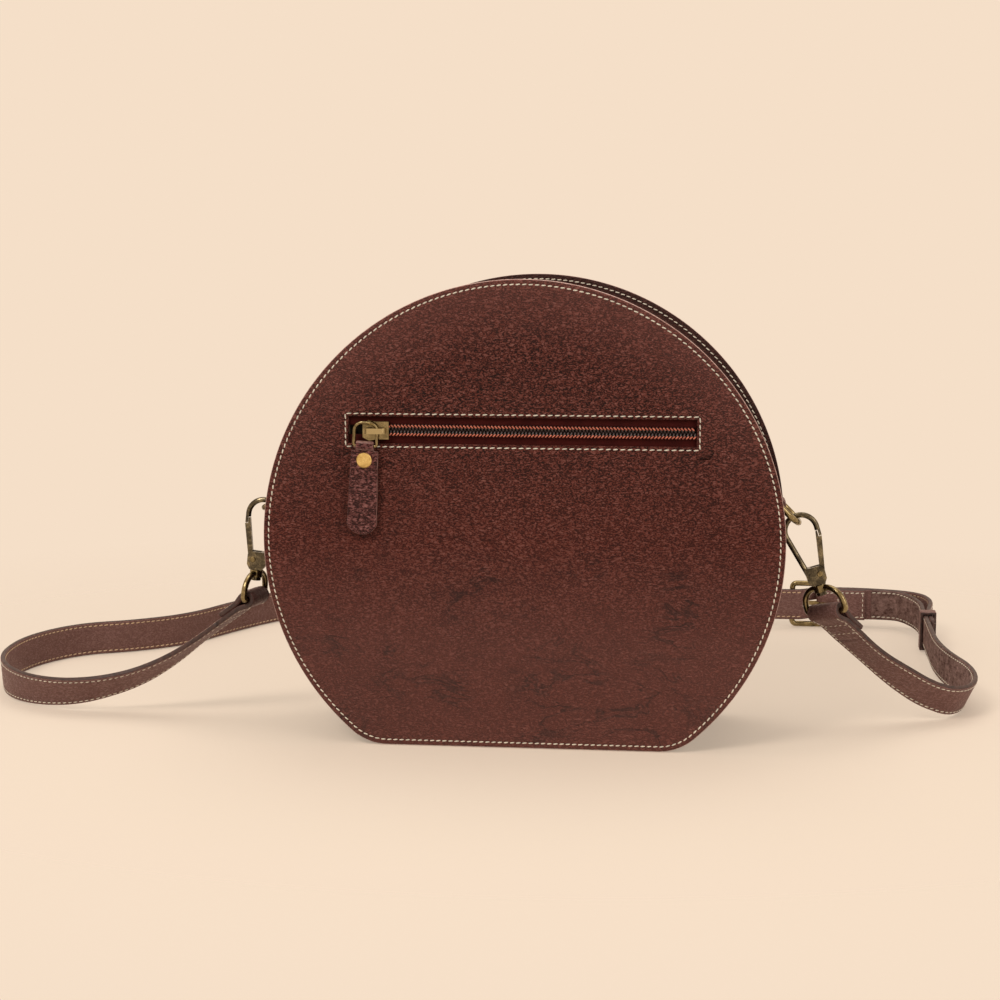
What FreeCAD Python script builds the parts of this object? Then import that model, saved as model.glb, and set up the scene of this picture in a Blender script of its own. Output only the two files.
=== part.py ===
import FreeCAD, Part
import math
import os
from types import SimpleNamespace

import Sketcher

Vector = FreeCAD.Vector

# Driving sizes: millimetres, or degrees where the name says angle, lean, drop, tilt or turn.
SIZES = {
    # round shell
    "panel_radius": 125.0,
    "base_corner_radius": 26.0,
    "bag_depth": 82.0,
    "panel_thickness": 2.0,
    "seam_width": 5.0,
    "gusset_thickness": 1.5,
    "board_thickness": 0.7,
    "base_board_thickness": 1.5,
    "lining_thickness": 0.6,
    "layer_gap": 0.15,
    "cut_overrun": 4.0,
    # pocket in the front panel
    "pocket_zip_drop": 71.5,
    "window_margin": 13.5,
    "window_height": 12.6,
    "pocket_bag_margin": 8.5,
    "pocket_bag_rise": 16.0,
    "pocket_bag_floor": 49.5,
    "pocket_bag_depth": 7.5,
    "pocket_cloth": 0.5,
    # both zips
    "zip_angle": 56.0,
    "zip_mouth": 14.0,
    "tape_width": 12.0,
    "tape_thickness": 0.7,
    "tape_split": 4.4,
    "tape_tuck": 4.0,
    "coil_width": 3.0,
    "coil_height": 1.9,
    "coil_split": 0.24,
    "coil_pitch": 1.65,
    "coil_tooth": 1.5,
    # zip slider and its pull
    "slider_length": 12.5,
    "slider_width": 9.8,
    "slider_plate": 1.1,
    "slider_gap": 0.35,
    "slider_park": 13.2,
    "diamond_width": 2.2,
    "bridge_length": 9.6,
    "bridge_width": 2.6,
    "bridge_height": 4.0,
    "bridge_band": 1.1,
    "ring_wire": 1.6,
    "ring_span": 11.0,
    "ring_height": 11.0,
    "ring_bar_corner": 1.0,
    "ring_top_corner": 4.0,
    "ring_offset": 4.9,
    "ring_drop_below": 7.2,
    "ring_tilt": 2.0,
    "pull_lean": 3.0,
    "pull_tilt": 10.8,
    "pull_length": 42.6,
    "pull_neck_width": 8.6,
    "pull_neck_length": 2.4,
    "pull_top_width": 12.8,
    "pull_end_width": 14.4,
    "pull_leather": 1.2,
    "pull_play": 0.3,
    "rivet_offset": 6.8,
    "rivet_head": 7.4,
    "rivet_rise": 0.7,
    "rivet_shank": 3.0,
    # side tabs and D-rings
    "side_tab_angle": 82.8,
    "side_tab_length": 30.0,
    "side_tab_width": 13.0,
    "side_tab_leather": 1.2,
    "dring_wire": 3.0,
    "dring_span": 18.0,
    "dring_height": 13.0,
    "dring_corner": 1.9,
    "dring_drop_left": 26.0,
    "dring_drop_right": 44.0,
    "wire_play": 0.3,
    # snap hooks
    "loop_wire": 3.0,
    "loop_span": 24.0,
    "loop_height": 12.5,
    "loop_bar_corner": 2.0,
    "loop_top_corner": 9.0,
    "hub_radius": 3.2,
    "hub_height": 3.6,
    "shank_radius": 1.5,
    "shank_head_radius": 2.6,
    "shank_head_height": 1.4,
    "swivel_play": 0.1,
    "swivel_lift": 0.3,
    "hook_base_height": 9.0,
    "hook_base_width": 10.0,
    "hook_base_thickness": 5.4,
    "hook_wire": 2.7,
    "hook_eye_rise": 27.8,
    "hook_eye_shift": 1.2,
    "hook_eye_radius": 7.8,
    "hook_leg_lean": 14.0,
    "hook_nose_drop": 4.6,
    "nose_latch": 3.0,
    "nose_latch_play": 0.35,
    "gate_slot": 2.8,
    "gate_thickness": 2.2,
    "gate_pin_rise": 5.0,
    "gate_pin_shift": 1.8,
    "gate_pin_radius": 0.9,
    "gate_pin_head": 1.5,
    "gate_pin_head_rise": 0.35,
    "gate_pin_play": 0.08,
    "gate_heel": 2.4,
    "gate_bar": 2.4,
    "gate_tip_gap": 0.5,
    "gate_spring": 0.4,
    "gate_spring_room": 1.2,
    # how the hooks hang: bars of their loops out from and below the bars of the D-rings, leans and turns
    "left_bar_gap": 18.42,
    "left_bar_drop": 51.83,
    "left_hook_lean": 6.6,
    "left_loop_turn": 78.0,
    "left_strap_lift": 48.0,
    "right_bar_gap": 24.12,
    "right_bar_drop": 53.43,
    "right_hook_lean": 17.0,
    "right_loop_turn": -40.0,
    "right_strap_lift": 38.0,
    # strap
    "strap_width": 19.0,
    "strap_thickness": 2.6,
    "fold_tail": 17.0,
    "fold_neck": 21.0,
    "heel_fold_tail": 25.0,
    "heel_fold_neck": 29.0,
    "fold_lead": 13.0,
    "strap_hole": 4.0,
    "strap_hole_pitch": 25.0,
    # buckle and keeper
    "buckle_out": 155.0,
    "buckle_back": 266.0,
    "buckle_wire": 3.4,
    "buckle_length": 19.6,
    "buckle_height": 25.6,
    "buckle_corner": 2.6,
    "prong_width": 2.6,
    "prong_thickness": 1.2,
    "prong_play": 0.12,
    "prong_slot": 9.0,
    "prong_slot_shift": 1.2,
    "keeper_out": 212.0,
    "keeper_back": 205.0,
    "keeper_length": 9.0,
    "keeper_leather": 1.6,
    "keeper_lift": 0.5,
}

# Height of the panels' centre over the base, as a share of their radius.
CENTRE_SHARE = 0.8
# Slider plate outline, as shares of its length (along the chain) and of its width.
SLIDER_SHARES = [(-0.5, 0.34), (-0.26, 0.5), (0.0, 0.43), (0.5, 0.43)]
# Radius of a pull tab's round end, as a share of half its width.
PULL_END_SHARE = 1.08
# Start and end of the diamond that parts the chain, as shares of the slider's length.
DIAMOND_SHARES = (-0.46, -0.08)
# Half widths of the hook's base from bottom to top: height share, gate side share, leg side share.
BASE_SHARES = [(0.0, 0.32, 0.32), (0.26, 0.46, 0.48), (0.82, 0.46, 0.5), (1.0, 0.3, 0.5)]

# Strap points inside the buckle: shares of its wire past the front bar and of the sleeve off the inner lane.
# Then those outside it: shares of the sleeve past the heel bar and before the outer lane.
BUCKLE_IN_SHARES = [(0.5, 0.0), (2.0, 0.25)]
BUCKLE_OUT_SHARES = [(-1.3, 0.2), (0.25, 0.0)]
# Strap points where each half turns to the keeper and at the keeper, as shares of the keeper's length.
LONG_TURN_SHARES = [(-0.25, 0.25), (0.5, 3.0)]
LONG_KEEPER_SHARES = (2.0, 0.0, -2.0)
SHORT_KEEPER_SHARES = (-4.0, -1.0, 2.0)
SHORT_TURN_SHARES = [(0.0, 3.0), (1.0, 0.5)]
# Punched holes of the strap, counted from the one that the prong is in.
HOLE_STEPS = (-2, -1, 1)

# Routes of the two strap halves between their sewn ends: x, y, z and the tilt of the strap's face.
LONG_ROUTE = [
    (-187, 6, 28, -72),
    (-209, 6, 17, -54),
    (-236, 4, 11.0, -38),
    (-262, 11, 9.7, -24),
    (-284, 31, 9.6, -8),
    (-297.5, 62, 9.5, 0),
    (-298, 102, 9.5, 0),
    (-280, 137, 9.5, 0),
    (-250, 150, 9.5, 0),
    (-223, 173, 9.5, 0),
    (-207, 212, 9.5, 0),
    (-185, 252, 9.6, 0),
    (-145, 284, 9.8, 0),
    (-90, 297, 10.2, 0),
    (-30, 294, 11.0, 0),
    (30, 283, 12.2, 0),
    (76, 271, 13.4, 0),
]
SHORT_ROUTE = [
    (184, 24, 25, 52),
    (199, 30, 14.6, 42),
    (213, 36, 9.8, 34),
    (222, 52, 9.5, 26),
    (224, 80, 9.9, 14),
    (217, 108, 10.3, 4),
    (212.4, 138, 11.0, 0),
]


class Dim:
    """A length that carries its value and the sheet expression that gives it."""

    def __init__(self, value, text):
        self.value = value
        self.text = text

    def __add__(self, other):
        other = as_dim(other)
        return Dim(self.value + other.value, f"({self.text} + {other.text})")

    def __sub__(self, other):
        other = as_dim(other)
        return Dim(self.value - other.value, f"({self.text} - {other.text})")

    def __mul__(self, other):
        other = as_dim(other)
        return Dim(self.value * other.value, f"({self.text} * {other.text})")

    def __truediv__(self, other):
        other = as_dim(other)
        return Dim(self.value / other.value, f"({self.text} / {other.text})")

    def __neg__(self):
        return Dim(-self.value, f"(-1 * {self.text})")


def as_dim(number):
    return number if isinstance(number, Dim) else Dim(number, repr(number))


def root(dim):
    return Dim(math.sqrt(dim.value), f"sqrt({dim.text})")


def sine(dim):
    return Dim(math.sin(math.radians(dim.value)), f"sin({dim.text})")


def cosine(dim):
    return Dim(math.cos(math.radians(dim.value)), f"cos({dim.text})")


def tangent(dim):
    return Dim(math.tan(math.radians(dim.value)), f"tan({dim.text})")


def degrees_of(length, radius):
    """The angle, in degrees, that a length takes up on an arc."""
    return length / radius * Dim(180 / math.pi, "(180 / pi)")


doc = FreeCAD.newDocument("circle_bag")
sheet = doc.addObject("Spreadsheet::Sheet", "sizes")
for row, (name, number) in enumerate(SIZES.items(), start=1):
    sheet.set(f"A{row}", name)
    sheet.set(f"B{row}", str(number))
    sheet.setAlias(f"B{row}", name)
doc.recompute()
size = SimpleNamespace(**{name: Dim(float(sheet.get(name)), f"sizes.{name}") for name in SIZES})
ZERO = Dim(0, "0")
nodes = []


def bind(thing, path, dim):
    thing.setExpression(path, dim.text)


def origin_plane(body, role):
    return next(feature for feature in body.Origin.OriginFeatures if feature.Role == role)


def new_body(label):
    body = doc.addObject("PartDesign::Body", label)
    body.Label = label
    return body


def keep(thing):
    """Count an object as one of the sub-parts that are written out."""
    nodes.append(thing)
    return thing


def sketch_on(body, role, lift=None):
    """A sketch on one of a body's origin planes, lifted along the plane's normal."""
    sketch = body.newObject("Sketcher::SketchObject", f"{body.Name}_sketch")
    sketch.AttachmentSupport = [(origin_plane(body, role), "")]
    sketch.MapMode = "FlatFace"
    if lift is not None:
        sketch.AttachmentOffset = FreeCAD.Placement(Vector(0, 0, lift.value), FreeCAD.Rotation())
        bind(sketch, "AttachmentOffset.Base.z", lift)
    return sketch


def dimension(sketch, constraint, dim):
    index = sketch.addConstraint(constraint)
    bind(sketch, f"Constraints[{index}]", dim)


def locate(sketch, geometry, position, corner):
    """Tie a point of a sketch to its two coordinates."""
    for kind, dim in zip(("DistanceX", "DistanceY"), corner):
        dimension(sketch, Sketcher.Constraint(kind, -1, 1, geometry, position, dim.value), dim)


def circle(sketch, corner, radius):
    centre = Vector(corner[0].value, corner[1].value, 0)
    index = sketch.addGeometry(Part.Circle(centre, Vector(0, 0, 1), radius.value))
    locate(sketch, index, 3, corner)
    dimension(sketch, Sketcher.Constraint("Radius", index, radius.value), radius)


def add_edge(sketch, start, end, bend):
    """Draw a line, or an arc of bend = (radius, side, long way), and return its two end references."""
    first = Vector(start[0].value, start[1].value, 0)
    last = Vector(end[0].value, end[1].value, 0)
    if bend is None:
        index = sketch.addGeometry(Part.LineSegment(first, last))
        return index, 1, 2
    radius, side, long_way = bend
    chord = last - first
    across = Vector(-chord.y, chord.x, 0)
    across.normalize()
    reach = math.sqrt(max(radius.value**2 - (chord.Length / 2) ** 2, 0))
    centre = first + chord * 0.5 + across * (reach * side * (-1 if long_way else 1))
    angles = [math.atan2(point.y - centre.y, point.x - centre.x) for point in (first, last)]
    if side < 0:
        angles.reverse()
    if angles[1] < angles[0]:
        angles[1] += 2 * math.pi
    whole = Part.Circle(centre, Vector(0, 0, 1), radius.value)
    index = sketch.addGeometry(Part.ArcOfCircle(whole, *angles))
    dimension(sketch, Sketcher.Constraint("Radius", index, radius.value), radius)
    return (index, 1, 2) if side > 0 else (index, 2, 1)


def draw(sketch, corners, bends=None, closed=True):
    """Draw lines and arcs through corners, each tied to its coordinates, and return the edge count."""
    bends = bends or {}
    count = len(corners) if closed else len(corners) - 1
    edges = []
    for index in range(count):
        following = corners[(index + 1) % len(corners)]
        edges.append(add_edge(sketch, corners[index], following, bends.get(index)))
    for index, (geometry, begin, finish) in enumerate(edges):
        locate(sketch, geometry, begin, corners[index])
        if closed or index + 1 < count:
            after, after_begin, _ = edges[(index + 1) % count]
            sketch.addConstraint(Sketcher.Constraint("Coincident", geometry, finish, after, after_begin))
        else:
            locate(sketch, geometry, finish, corners[-1])
    return count


def rectangle(sketch, left, right, low, high):
    draw(sketch, [(left, low), (right, low), (right, high), (left, high)])


def pad(body, sketch, length):
    feature = body.newObject("PartDesign::Pad", f"{body.Name}_pad")
    feature.Profile = sketch
    bind(feature, "Length", length)
    doc.recompute()
    return feature


def pocket(body, sketch, length):
    """Cut along the sketch's normal, and make sure that something was cut."""
    before = body.Shape.Volume
    feature = body.newObject("PartDesign::Pocket", f"{body.Name}_pocket")
    feature.Profile = sketch
    feature.Reversed = True
    bind(feature, "Length", length)
    doc.recompute()
    if body.Shape.Volume >= before:
        raise RuntimeError(f"{body.Label}: a pocket cut nothing")
    return feature


def set_axes(thing, origin, x_axis, y_axis):
    """Place an object by its origin and the directions of its own X and Y axes."""
    x_axis = Vector(x_axis).normalize()
    z_axis = x_axis.cross(y_axis).normalize()
    rotation = FreeCAD.Rotation(x_axis, z_axis.cross(x_axis), z_axis, "XYZ")
    thing.Placement = FreeCAD.Placement(origin, rotation)


# Places shared by several sub-parts.
half_depth = size.bag_depth / 2
panel_inner = half_depth - size.panel_thickness
wall_outer = size.panel_radius - size.seam_width
wall_inner = wall_outer - size.gusset_thickness
tape_outer = wall_inner - size.layer_gap
tape_inner = tape_outer - size.tape_thickness
centre = size.panel_radius * CENTRE_SHARE
wall_inset = size.seam_width + size.gusset_thickness
lining_inset = wall_inset + size.tape_thickness + size.layer_gap * 2
lining_floor = wall_inset + size.base_board_thickness + size.layer_gap * 2
board_inset = wall_inset + size.layer_gap
face_inset = lining_inset + size.lining_thickness + size.layer_gap
face_floor = lining_floor + size.lining_thickness + size.layer_gap
pocket_front = size.board_thickness + size.tape_thickness - panel_inner
base_half = root(
    (size.panel_radius - size.base_corner_radius) * (size.panel_radius - size.base_corner_radius)
    - (centre - size.base_corner_radius) * (centre - size.base_corner_radius)
)
zip_rise = size.panel_radius - size.pocket_zip_drop
zip_line = centre + zip_rise
bag_top_rise = zip_rise + size.pocket_bag_rise
window_half = root(wall_inner * wall_inner - bag_top_rise * bag_top_rise) - size.window_margin


def bag_outline(sketch, inset, floor):
    """The round outline with its flat base, drawn in by inset, with its base at height floor."""
    radius = size.panel_radius - inset
    corner = size.base_corner_radius - inset
    corner_height = floor + corner
    reach = radius - corner
    corner_out = root(reach * reach - (centre - corner_height) * (centre - corner_height))
    touch_out = corner_out * radius / reach
    touch_height = centre + (corner_height - centre) * radius / reach
    corners = [
        (-corner_out, floor),
        (corner_out, floor),
        (touch_out, touch_height),
        (-touch_out, touch_height),
    ]
    draw(sketch, corners, {1: (corner, 1, False), 2: (radius, 1, True), 3: (corner, 1, False)})


def on_arc(radius, angle):
    """A point of the round outline, by its radius and its angle from the top."""
    return (radius * sine(angle), centre + radius * cosine(angle))


def sector(sketch, inner, outer, start, end):
    """A band between two radii, from one angle to another, both from the top."""
    corners = [on_arc(outer, start), on_arc(outer, end), on_arc(inner, end), on_arc(inner, start)]
    draw(sketch, corners, {0: (outer, -1, False), 2: (inner, 1, False)})


def plate(label, inset, floor, front, thickness):
    """A flat piece of the bag's outline, from y = front backwards."""
    body = new_body(label)
    bind(body, "Placement.Base.y", front + thickness)
    sketch = sketch_on(body, "XZ_Plane")
    bag_outline(sketch, inset, floor)
    pad(body, sketch, thickness)
    return keep(body)


def cut_window(body, half_length, half_height, thickness):
    sketch = sketch_on(body, "XZ_Plane")
    rectangle(sketch, -half_length, half_length, zip_line - half_height, zip_line + half_height)
    pocket(body, sketch, thickness)


def make_panels():
    front = plate("pocket_panel", ZERO, ZERO, -half_depth, size.panel_thickness)
    cut_window(front, window_half, size.window_height / 2, size.panel_thickness)
    plate("plain_panel", ZERO, ZERO, panel_inner, size.panel_thickness)


def make_boards():
    front = plate("panel_board_front", board_inset, board_inset, -panel_inner, size.board_thickness)
    half_length = window_half + size.tape_tuck + size.layer_gap
    half_height = size.tape_split / 2 + size.tape_width + size.layer_gap
    cut_window(front, half_length, half_height, size.board_thickness)
    rear_place = panel_inner - size.board_thickness
    plate("panel_board_rear", board_inset, board_inset, rear_place, size.board_thickness)
    body = new_body("base_board")
    half_width = panel_inner - size.board_thickness - size.layer_gap
    bind(body, "Placement.Base.z", board_inset)
    sketch = sketch_on(body, "XY_Plane")
    rectangle(sketch, -base_half, base_half, -half_width, half_width)
    pad(body, sketch, size.base_board_thickness)
    keep(body)


def outline_ring(body, lift, outer, inner, length):
    """A band between two outlines, each an inset and the height of its base."""
    sketch = sketch_on(body, "XZ_Plane", lift)
    bag_outline(sketch, *outer)
    bag_outline(sketch, *inner)
    return pad(body, sketch, length)


def cut_zip_sector(body, lift, length, angle):
    """Cut a wedge about the top, wide enough to pass the outline."""
    reach = size.panel_radius + size.cut_overrun
    sketch = sketch_on(body, "XZ_Plane", lift)
    out = reach * tangent(angle)
    draw(sketch, [(ZERO, centre), (out, centre + reach), (-out, centre + reach)])
    pocket(body, sketch, length)


def make_gusset():
    """The strip round the sides and the base, with a flange turned out along each edge."""
    body = new_body("gusset_wall")
    length = panel_inner * 2
    bind(body, "Placement.Base.y", panel_inner)
    edge = (ZERO, ZERO)
    outside = (size.seam_width, size.seam_width)
    inside = (wall_inset, wall_inset)
    outline_ring(body, ZERO, outside, inside, length)
    outline_ring(body, ZERO, edge, inside, size.gusset_thickness)
    outline_ring(body, length - size.gusset_thickness, edge, inside, size.gusset_thickness)
    cut_zip_sector(body, ZERO, length, size.zip_angle)
    keep(body)


def make_zip_strips():
    """The two strips over the top, each with its flange, between the panels and the main zip."""
    end = size.zip_angle - degrees_of(size.layer_gap, wall_outer)
    width = panel_inner - size.zip_mouth / 2
    flange_lift = {"zip_strip_front": width - size.gusset_thickness, "zip_strip_rear": ZERO}
    place = {"zip_strip_front": -size.zip_mouth / 2, "zip_strip_rear": panel_inner}
    for label, lift in flange_lift.items():
        body = new_body(label)
        bind(body, "Placement.Base.y", place[label])
        wall = sketch_on(body, "XZ_Plane")
        sector(wall, wall_inner, wall_outer, -end, end)
        pad(body, wall, width)
        flange = sketch_on(body, "XZ_Plane", lift)
        sector(flange, wall_inner, size.panel_radius, -end, end)
        pad(body, flange, size.gusset_thickness)
        keep(body)


def make_linings():
    body = new_body("lining_gusset")
    reach = panel_inner - size.board_thickness - size.layer_gap
    bind(body, "Placement.Base.y", reach)
    inside = (lining_inset + size.lining_thickness, lining_floor + size.lining_thickness)
    outline_ring(body, ZERO, (lining_inset, lining_floor), inside, reach * 2)
    slot_half = size.zip_mouth / 2 + size.layer_gap
    cut_zip_sector(body, reach - slot_half, slot_half * 2, size.zip_angle)
    keep(body)
    front_place = pocket_front + size.pocket_bag_depth + size.layer_gap
    plate("lining_front", face_inset, face_floor, front_place, size.lining_thickness)
    rear_place = panel_inner - size.board_thickness - size.layer_gap - size.lining_thickness
    plate("lining_rear", face_inset, face_floor, rear_place, size.lining_thickness)


def bound_box(label, low, high):
    """A box between two corners."""
    box = doc.addObject("Part::Box", label)
    for path, first, last, place in zip(("Length", "Width", "Height"), low, high, "xyz"):
        bind(box, path, last - first)
        bind(box, f"Placement.Base.{place}", first)
    return box


def cut(label, base, tool):
    feature = doc.addObject("Part::Cut", label)
    feature.Label = label
    feature.Base = base
    feature.Tool = tool
    doc.recompute()
    return feature


def make_pocket_bag():
    """A flat cloth bag behind the window, open only at its mouth."""
    half_width = window_half + size.pocket_bag_margin
    low = size.pocket_bag_floor
    high = zip_line + size.pocket_bag_rise
    back = pocket_front + size.pocket_bag_depth
    cloth = size.pocket_cloth
    outside = bound_box("pocket_bag_outside", (-half_width, pocket_front, low), (half_width, back, high))
    inner_low = (cloth - half_width, pocket_front + cloth, low + cloth)
    inside = bound_box("pocket_bag_inside", inner_low, (half_width - cloth, back - cloth, high - cloth))
    half_height = size.window_height / 2 + size.layer_gap
    mouth_low = (-window_half, pocket_front - cloth, zip_line - half_height)
    mouth_high = (window_half, pocket_front + cloth * 2, zip_line + half_height)
    mouth = bound_box("pocket_bag_mouth", mouth_low, mouth_high)
    keep(cut("pocket_bag", cut("pocket_bag_shell", outside, inside), mouth))


def make_pocket_tapes():
    half_length = window_half + size.tape_tuck
    near = size.tape_split / 2
    far = near + size.tape_width
    for label, low, high in (("upper", near, far), ("lower", -far, -near)):
        body = new_body(f"pocket_zip_tape_{label}")
        bind(body, "Placement.Base.y", size.tape_thickness - panel_inner)
        sketch = sketch_on(body, "XZ_Plane")
        rectangle(sketch, -half_length, half_length, zip_line + low, zip_line + high)
        pad(body, sketch, size.tape_thickness)
        keep(body)


def make_pocket_coils():
    """Two rows whose pointed teeth mesh along the zip line, from the slider to the window's end."""
    start = size.slider_park.value - window_half.value
    start += (size.slider_length * DIAMOND_SHARES[1] + size.slider_gap).value
    end = window_half.value - size.slider_gap.value
    count = int((end - start) / size.coil_pitch.value)
    step = size.coil_pitch.value / 2
    split = size.coil_split.value / 2
    tooth = size.coil_tooth.value / 2
    edge = [(start + step * index, tooth if index % 2 else -tooth) for index in range(2 * count + 1)]
    for label, side in (("upper", 1), ("lower", -1)):
        points = [(x, z + side * split) for x, z in edge]
        outside = side * (size.coil_width.value + split)
        points += [(edge[-1][0], outside), (edge[0][0], outside), points[0]]
        wire = Part.makePolygon([Vector(x, 0, z + zip_line.value) for x, z in points])
        node = doc.addObject("Part::Feature", f"pocket_zip_coil_{label}")
        node.Shape = Part.Face(wire).extrude(Vector(0, -size.coil_height.value, 0))
        node.Label = f"pocket_zip_coil_{label}"
        node.Placement = FreeCAD.Placement(Vector(0, -panel_inner.value, 0), FreeCAD.Rotation())
        keep(node)


slider_turn = size.zip_angle - degrees_of(size.slider_park, tape_outer) / 2


def make_main_zip():
    """Tapes under the strips and coils on them, bent round the top of the bag."""
    tuck = size.zip_angle + degrees_of(size.tape_tuck, tape_outer)
    near = size.tape_split / 2
    coil_lead = size.slider_length * DIAMOND_SHARES[1] + size.slider_gap
    coil_start = degrees_of(coil_lead, tape_outer) - slider_turn
    coil_end = size.zip_angle - degrees_of(size.layer_gap, tape_outer)
    split = size.coil_split / 2
    for label, tape_back, coil_back in (
        ("front", -near, -split),
        ("rear", near + size.tape_width, split + size.coil_width),
    ):
        tape = new_body(f"main_zip_tape_{label}")
        bind(tape, "Placement.Base.y", tape_back)
        sketch = sketch_on(tape, "XZ_Plane")
        sector(sketch, tape_inner, tape_outer, -tuck, tuck)
        pad(tape, sketch, size.tape_width)
        keep(tape)
        coil = new_body(f"main_zip_coil_{label}")
        bind(coil, "Placement.Base.y", coil_back)
        sketch = sketch_on(coil, "XZ_Plane")
        sector(sketch, tape_outer + size.layer_gap, tape_outer + size.coil_height, coil_start, coil_end)
        pad(coil, sketch, size.coil_width)
        keep(coil)


# Heights on a slider, from the tape's outer face.
plate_low = size.coil_height + size.slider_gap
plate_high = plate_low + size.slider_plate
ring_level = plate_high + (size.bridge_height - size.bridge_band) / 2
under_low = -(size.tape_thickness + size.slider_gap + size.slider_plate)


def slider_outline(sketch):
    upper = [(size.slider_length * along, size.slider_width * across) for along, across in SLIDER_SHARES]
    lower = [(along, -across) for along, across in reversed(upper)]
    draw(sketch, upper + lower)


def make_slider(label, origin, x_axis, y_axis):
    """X along the chain towards the closed side, Z out of the bag, from the tape's outer face."""
    body = new_body(label)
    top = sketch_on(body, "XY_Plane", plate_low)
    slider_outline(top)
    pad(body, top, size.slider_plate)
    channel = size.coil_width + size.coil_split / 2 + size.slider_gap
    rail = size.slider_width * SLIDER_SHARES[-1][1]
    rails = sketch_on(body, "XY_Plane", size.slider_gap)
    back = size.slider_length / 2
    rectangle(rails, ZERO, back, channel, rail)
    rectangle(rails, ZERO, back, -rail, -channel)
    pad(body, rails, plate_low - size.slider_gap)
    wedge = sketch_on(body, "XY_Plane", under_low)
    first, last = (size.slider_length * share for share in DIAMOND_SHARES)
    middle = (first + last) / 2
    half = size.diamond_width / 2
    draw(wedge, [(first, ZERO), (middle, -half), (last, ZERO), (middle, half)])
    pad(body, wedge, plate_high - under_low)
    under = sketch_on(body, "XY_Plane", under_low)
    slider_outline(under)
    pad(body, under, size.slider_plate)
    arch = sketch_on(body, "XZ_Plane", -size.bridge_width / 2)
    foot = size.bridge_length / 2
    shoulder = foot - size.bridge_band
    crown = plate_high + size.bridge_height
    inside = crown - size.bridge_band
    draw(
        arch,
        [
            (-foot, plate_low),
            (-shoulder, plate_low),
            (-shoulder, inside),
            (shoulder, inside),
            (shoulder, plate_low),
            (foot, plate_low),
            (foot, inside),
            (shoulder, crown),
            (-shoulder, crown),
            (-foot, inside),
        ],
    )
    pad(body, arch, size.bridge_width)
    set_axes(body, origin, x_axis, y_axis)
    return keep(body)


def wire_ring(label, span, height, bar_corner, top_corner, wire):
    """A closed wire ring: a bar along X at its foot, rounded corners, and a round or flat top at height."""
    body = new_body(label)
    half = span / 2
    corners = [(ZERO, ZERO), (half - bar_corner, ZERO), (half, bar_corner), (half, height - top_corner)]
    corners.append((half - top_corner, height))
    if abs(corners[-1][0].value) > size.layer_gap.value:
        corners.append((ZERO, height))
    path = sketch_on(body, "XY_Plane")
    count = draw(path, corners, {1: (bar_corner, 1, False), 3: (top_corner, 1, False)}, closed=False)
    section = sketch_on(body, "YZ_Plane")
    circle(section, (ZERO, ZERO), wire / 2)
    doc.recompute()
    pipe = body.newObject("PartDesign::AdditivePipe", f"{label}_pipe")
    pipe.Profile = section
    pipe.Spine = (path, [f"Edge{index + 1}" for index in range(count)])
    doc.recompute()
    mirror = body.newObject("PartDesign::Mirrored", f"{label}_mirror")
    mirror.Originals = [pipe]
    mirror.MirrorPlane = (origin_plane(body, "YZ_Plane"), [""])
    body.Tip = mirror
    doc.recompute()
    return keep(body)


def make_pull_ring(label, origin, x_axis, y_axis):
    body = wire_ring(
        label,
        size.ring_span,
        size.ring_height,
        size.ring_bar_corner,
        size.ring_top_corner,
        size.ring_wire,
    )
    set_axes(body, origin, x_axis, y_axis)


def make_pull_tab(label, origin, x_axis, y_axis):
    """A leather strip folded round the ring's bar at its neck, its two layers hanging along -Y."""
    body = new_body(label)
    half_neck = size.pull_neck_width / 2
    half_top = size.pull_top_width / 2
    half_end = size.pull_end_width / 2
    bore = size.ring_wire / 2 + size.pull_play
    sleeve = sketch_on(body, "YZ_Plane", -half_neck)
    circle(sleeve, (ZERO, ZERO), bore + size.pull_leather)
    pad(body, sleeve, size.pull_neck_width)
    flap = sketch_on(body, "XY_Plane", -size.pull_leather)
    round_end = half_end * PULL_END_SHARE
    low = round_end - root(round_end * round_end - half_end * half_end) - size.pull_length
    shoulder = -size.pull_neck_length
    left = [(-half_neck, ZERO), (-half_neck, shoulder), (-half_top, shoulder), (-half_end, low)]
    right = [(-out, height) for out, height in reversed(left)]
    draw(flap, left + right, {3: (round_end, 1, False)})
    pad(body, flap, size.pull_leather * 2)
    hole = sketch_on(body, "YZ_Plane", -half_end)
    circle(hole, (ZERO, ZERO), bore)
    pocket(body, hole, size.pull_end_width)
    rivet_hole = sketch_on(body, "XY_Plane", -size.pull_leather)
    circle(rivet_hole, (ZERO, -size.rivet_offset), size.rivet_shank / 2)
    pocket(body, rivet_hole, size.pull_leather * 2)
    set_axes(body, origin, x_axis, y_axis)
    return keep(body)


def make_pull_rivet(label, origin, x_axis, y_axis):
    """A two-headed rivet through both layers of a pull tab."""
    body = new_body(label)
    leather = size.pull_leather
    head = size.rivet_head / 2
    shank = size.rivet_shank / 2 - size.layer_gap / 2
    rim = size.rivet_rise / 2
    crown = leather + size.rivet_rise
    shoulder = head - rim
    half = [(ZERO, crown), (shoulder, crown), (head, leather + rim), (head, leather), (shank, leather)]
    section = sketch_on(body, "XZ_Plane")
    draw(section, half + [(out, -rise) for out, rise in reversed(half)])
    turned = body.newObject("PartDesign::Revolution", f"{label}_turned")
    turned.Profile = section
    turned.ReferenceAxis = (section, ["V_Axis"])
    doc.recompute()
    middle = Vector(y_axis).normalize() * -size.rivet_offset.value
    set_axes(body, origin + middle, x_axis, y_axis)
    keep(body)


def make_pull(prefix, origin, ring_axes, tab_axes):
    make_pull_ring(f"{prefix}_pull_ring", origin, *ring_axes)
    make_pull_tab(f"{prefix}_pull_tab", origin, *tab_axes)
    make_pull_rivet(f"{prefix}_pull_rivet", origin, *tab_axes)


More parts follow.
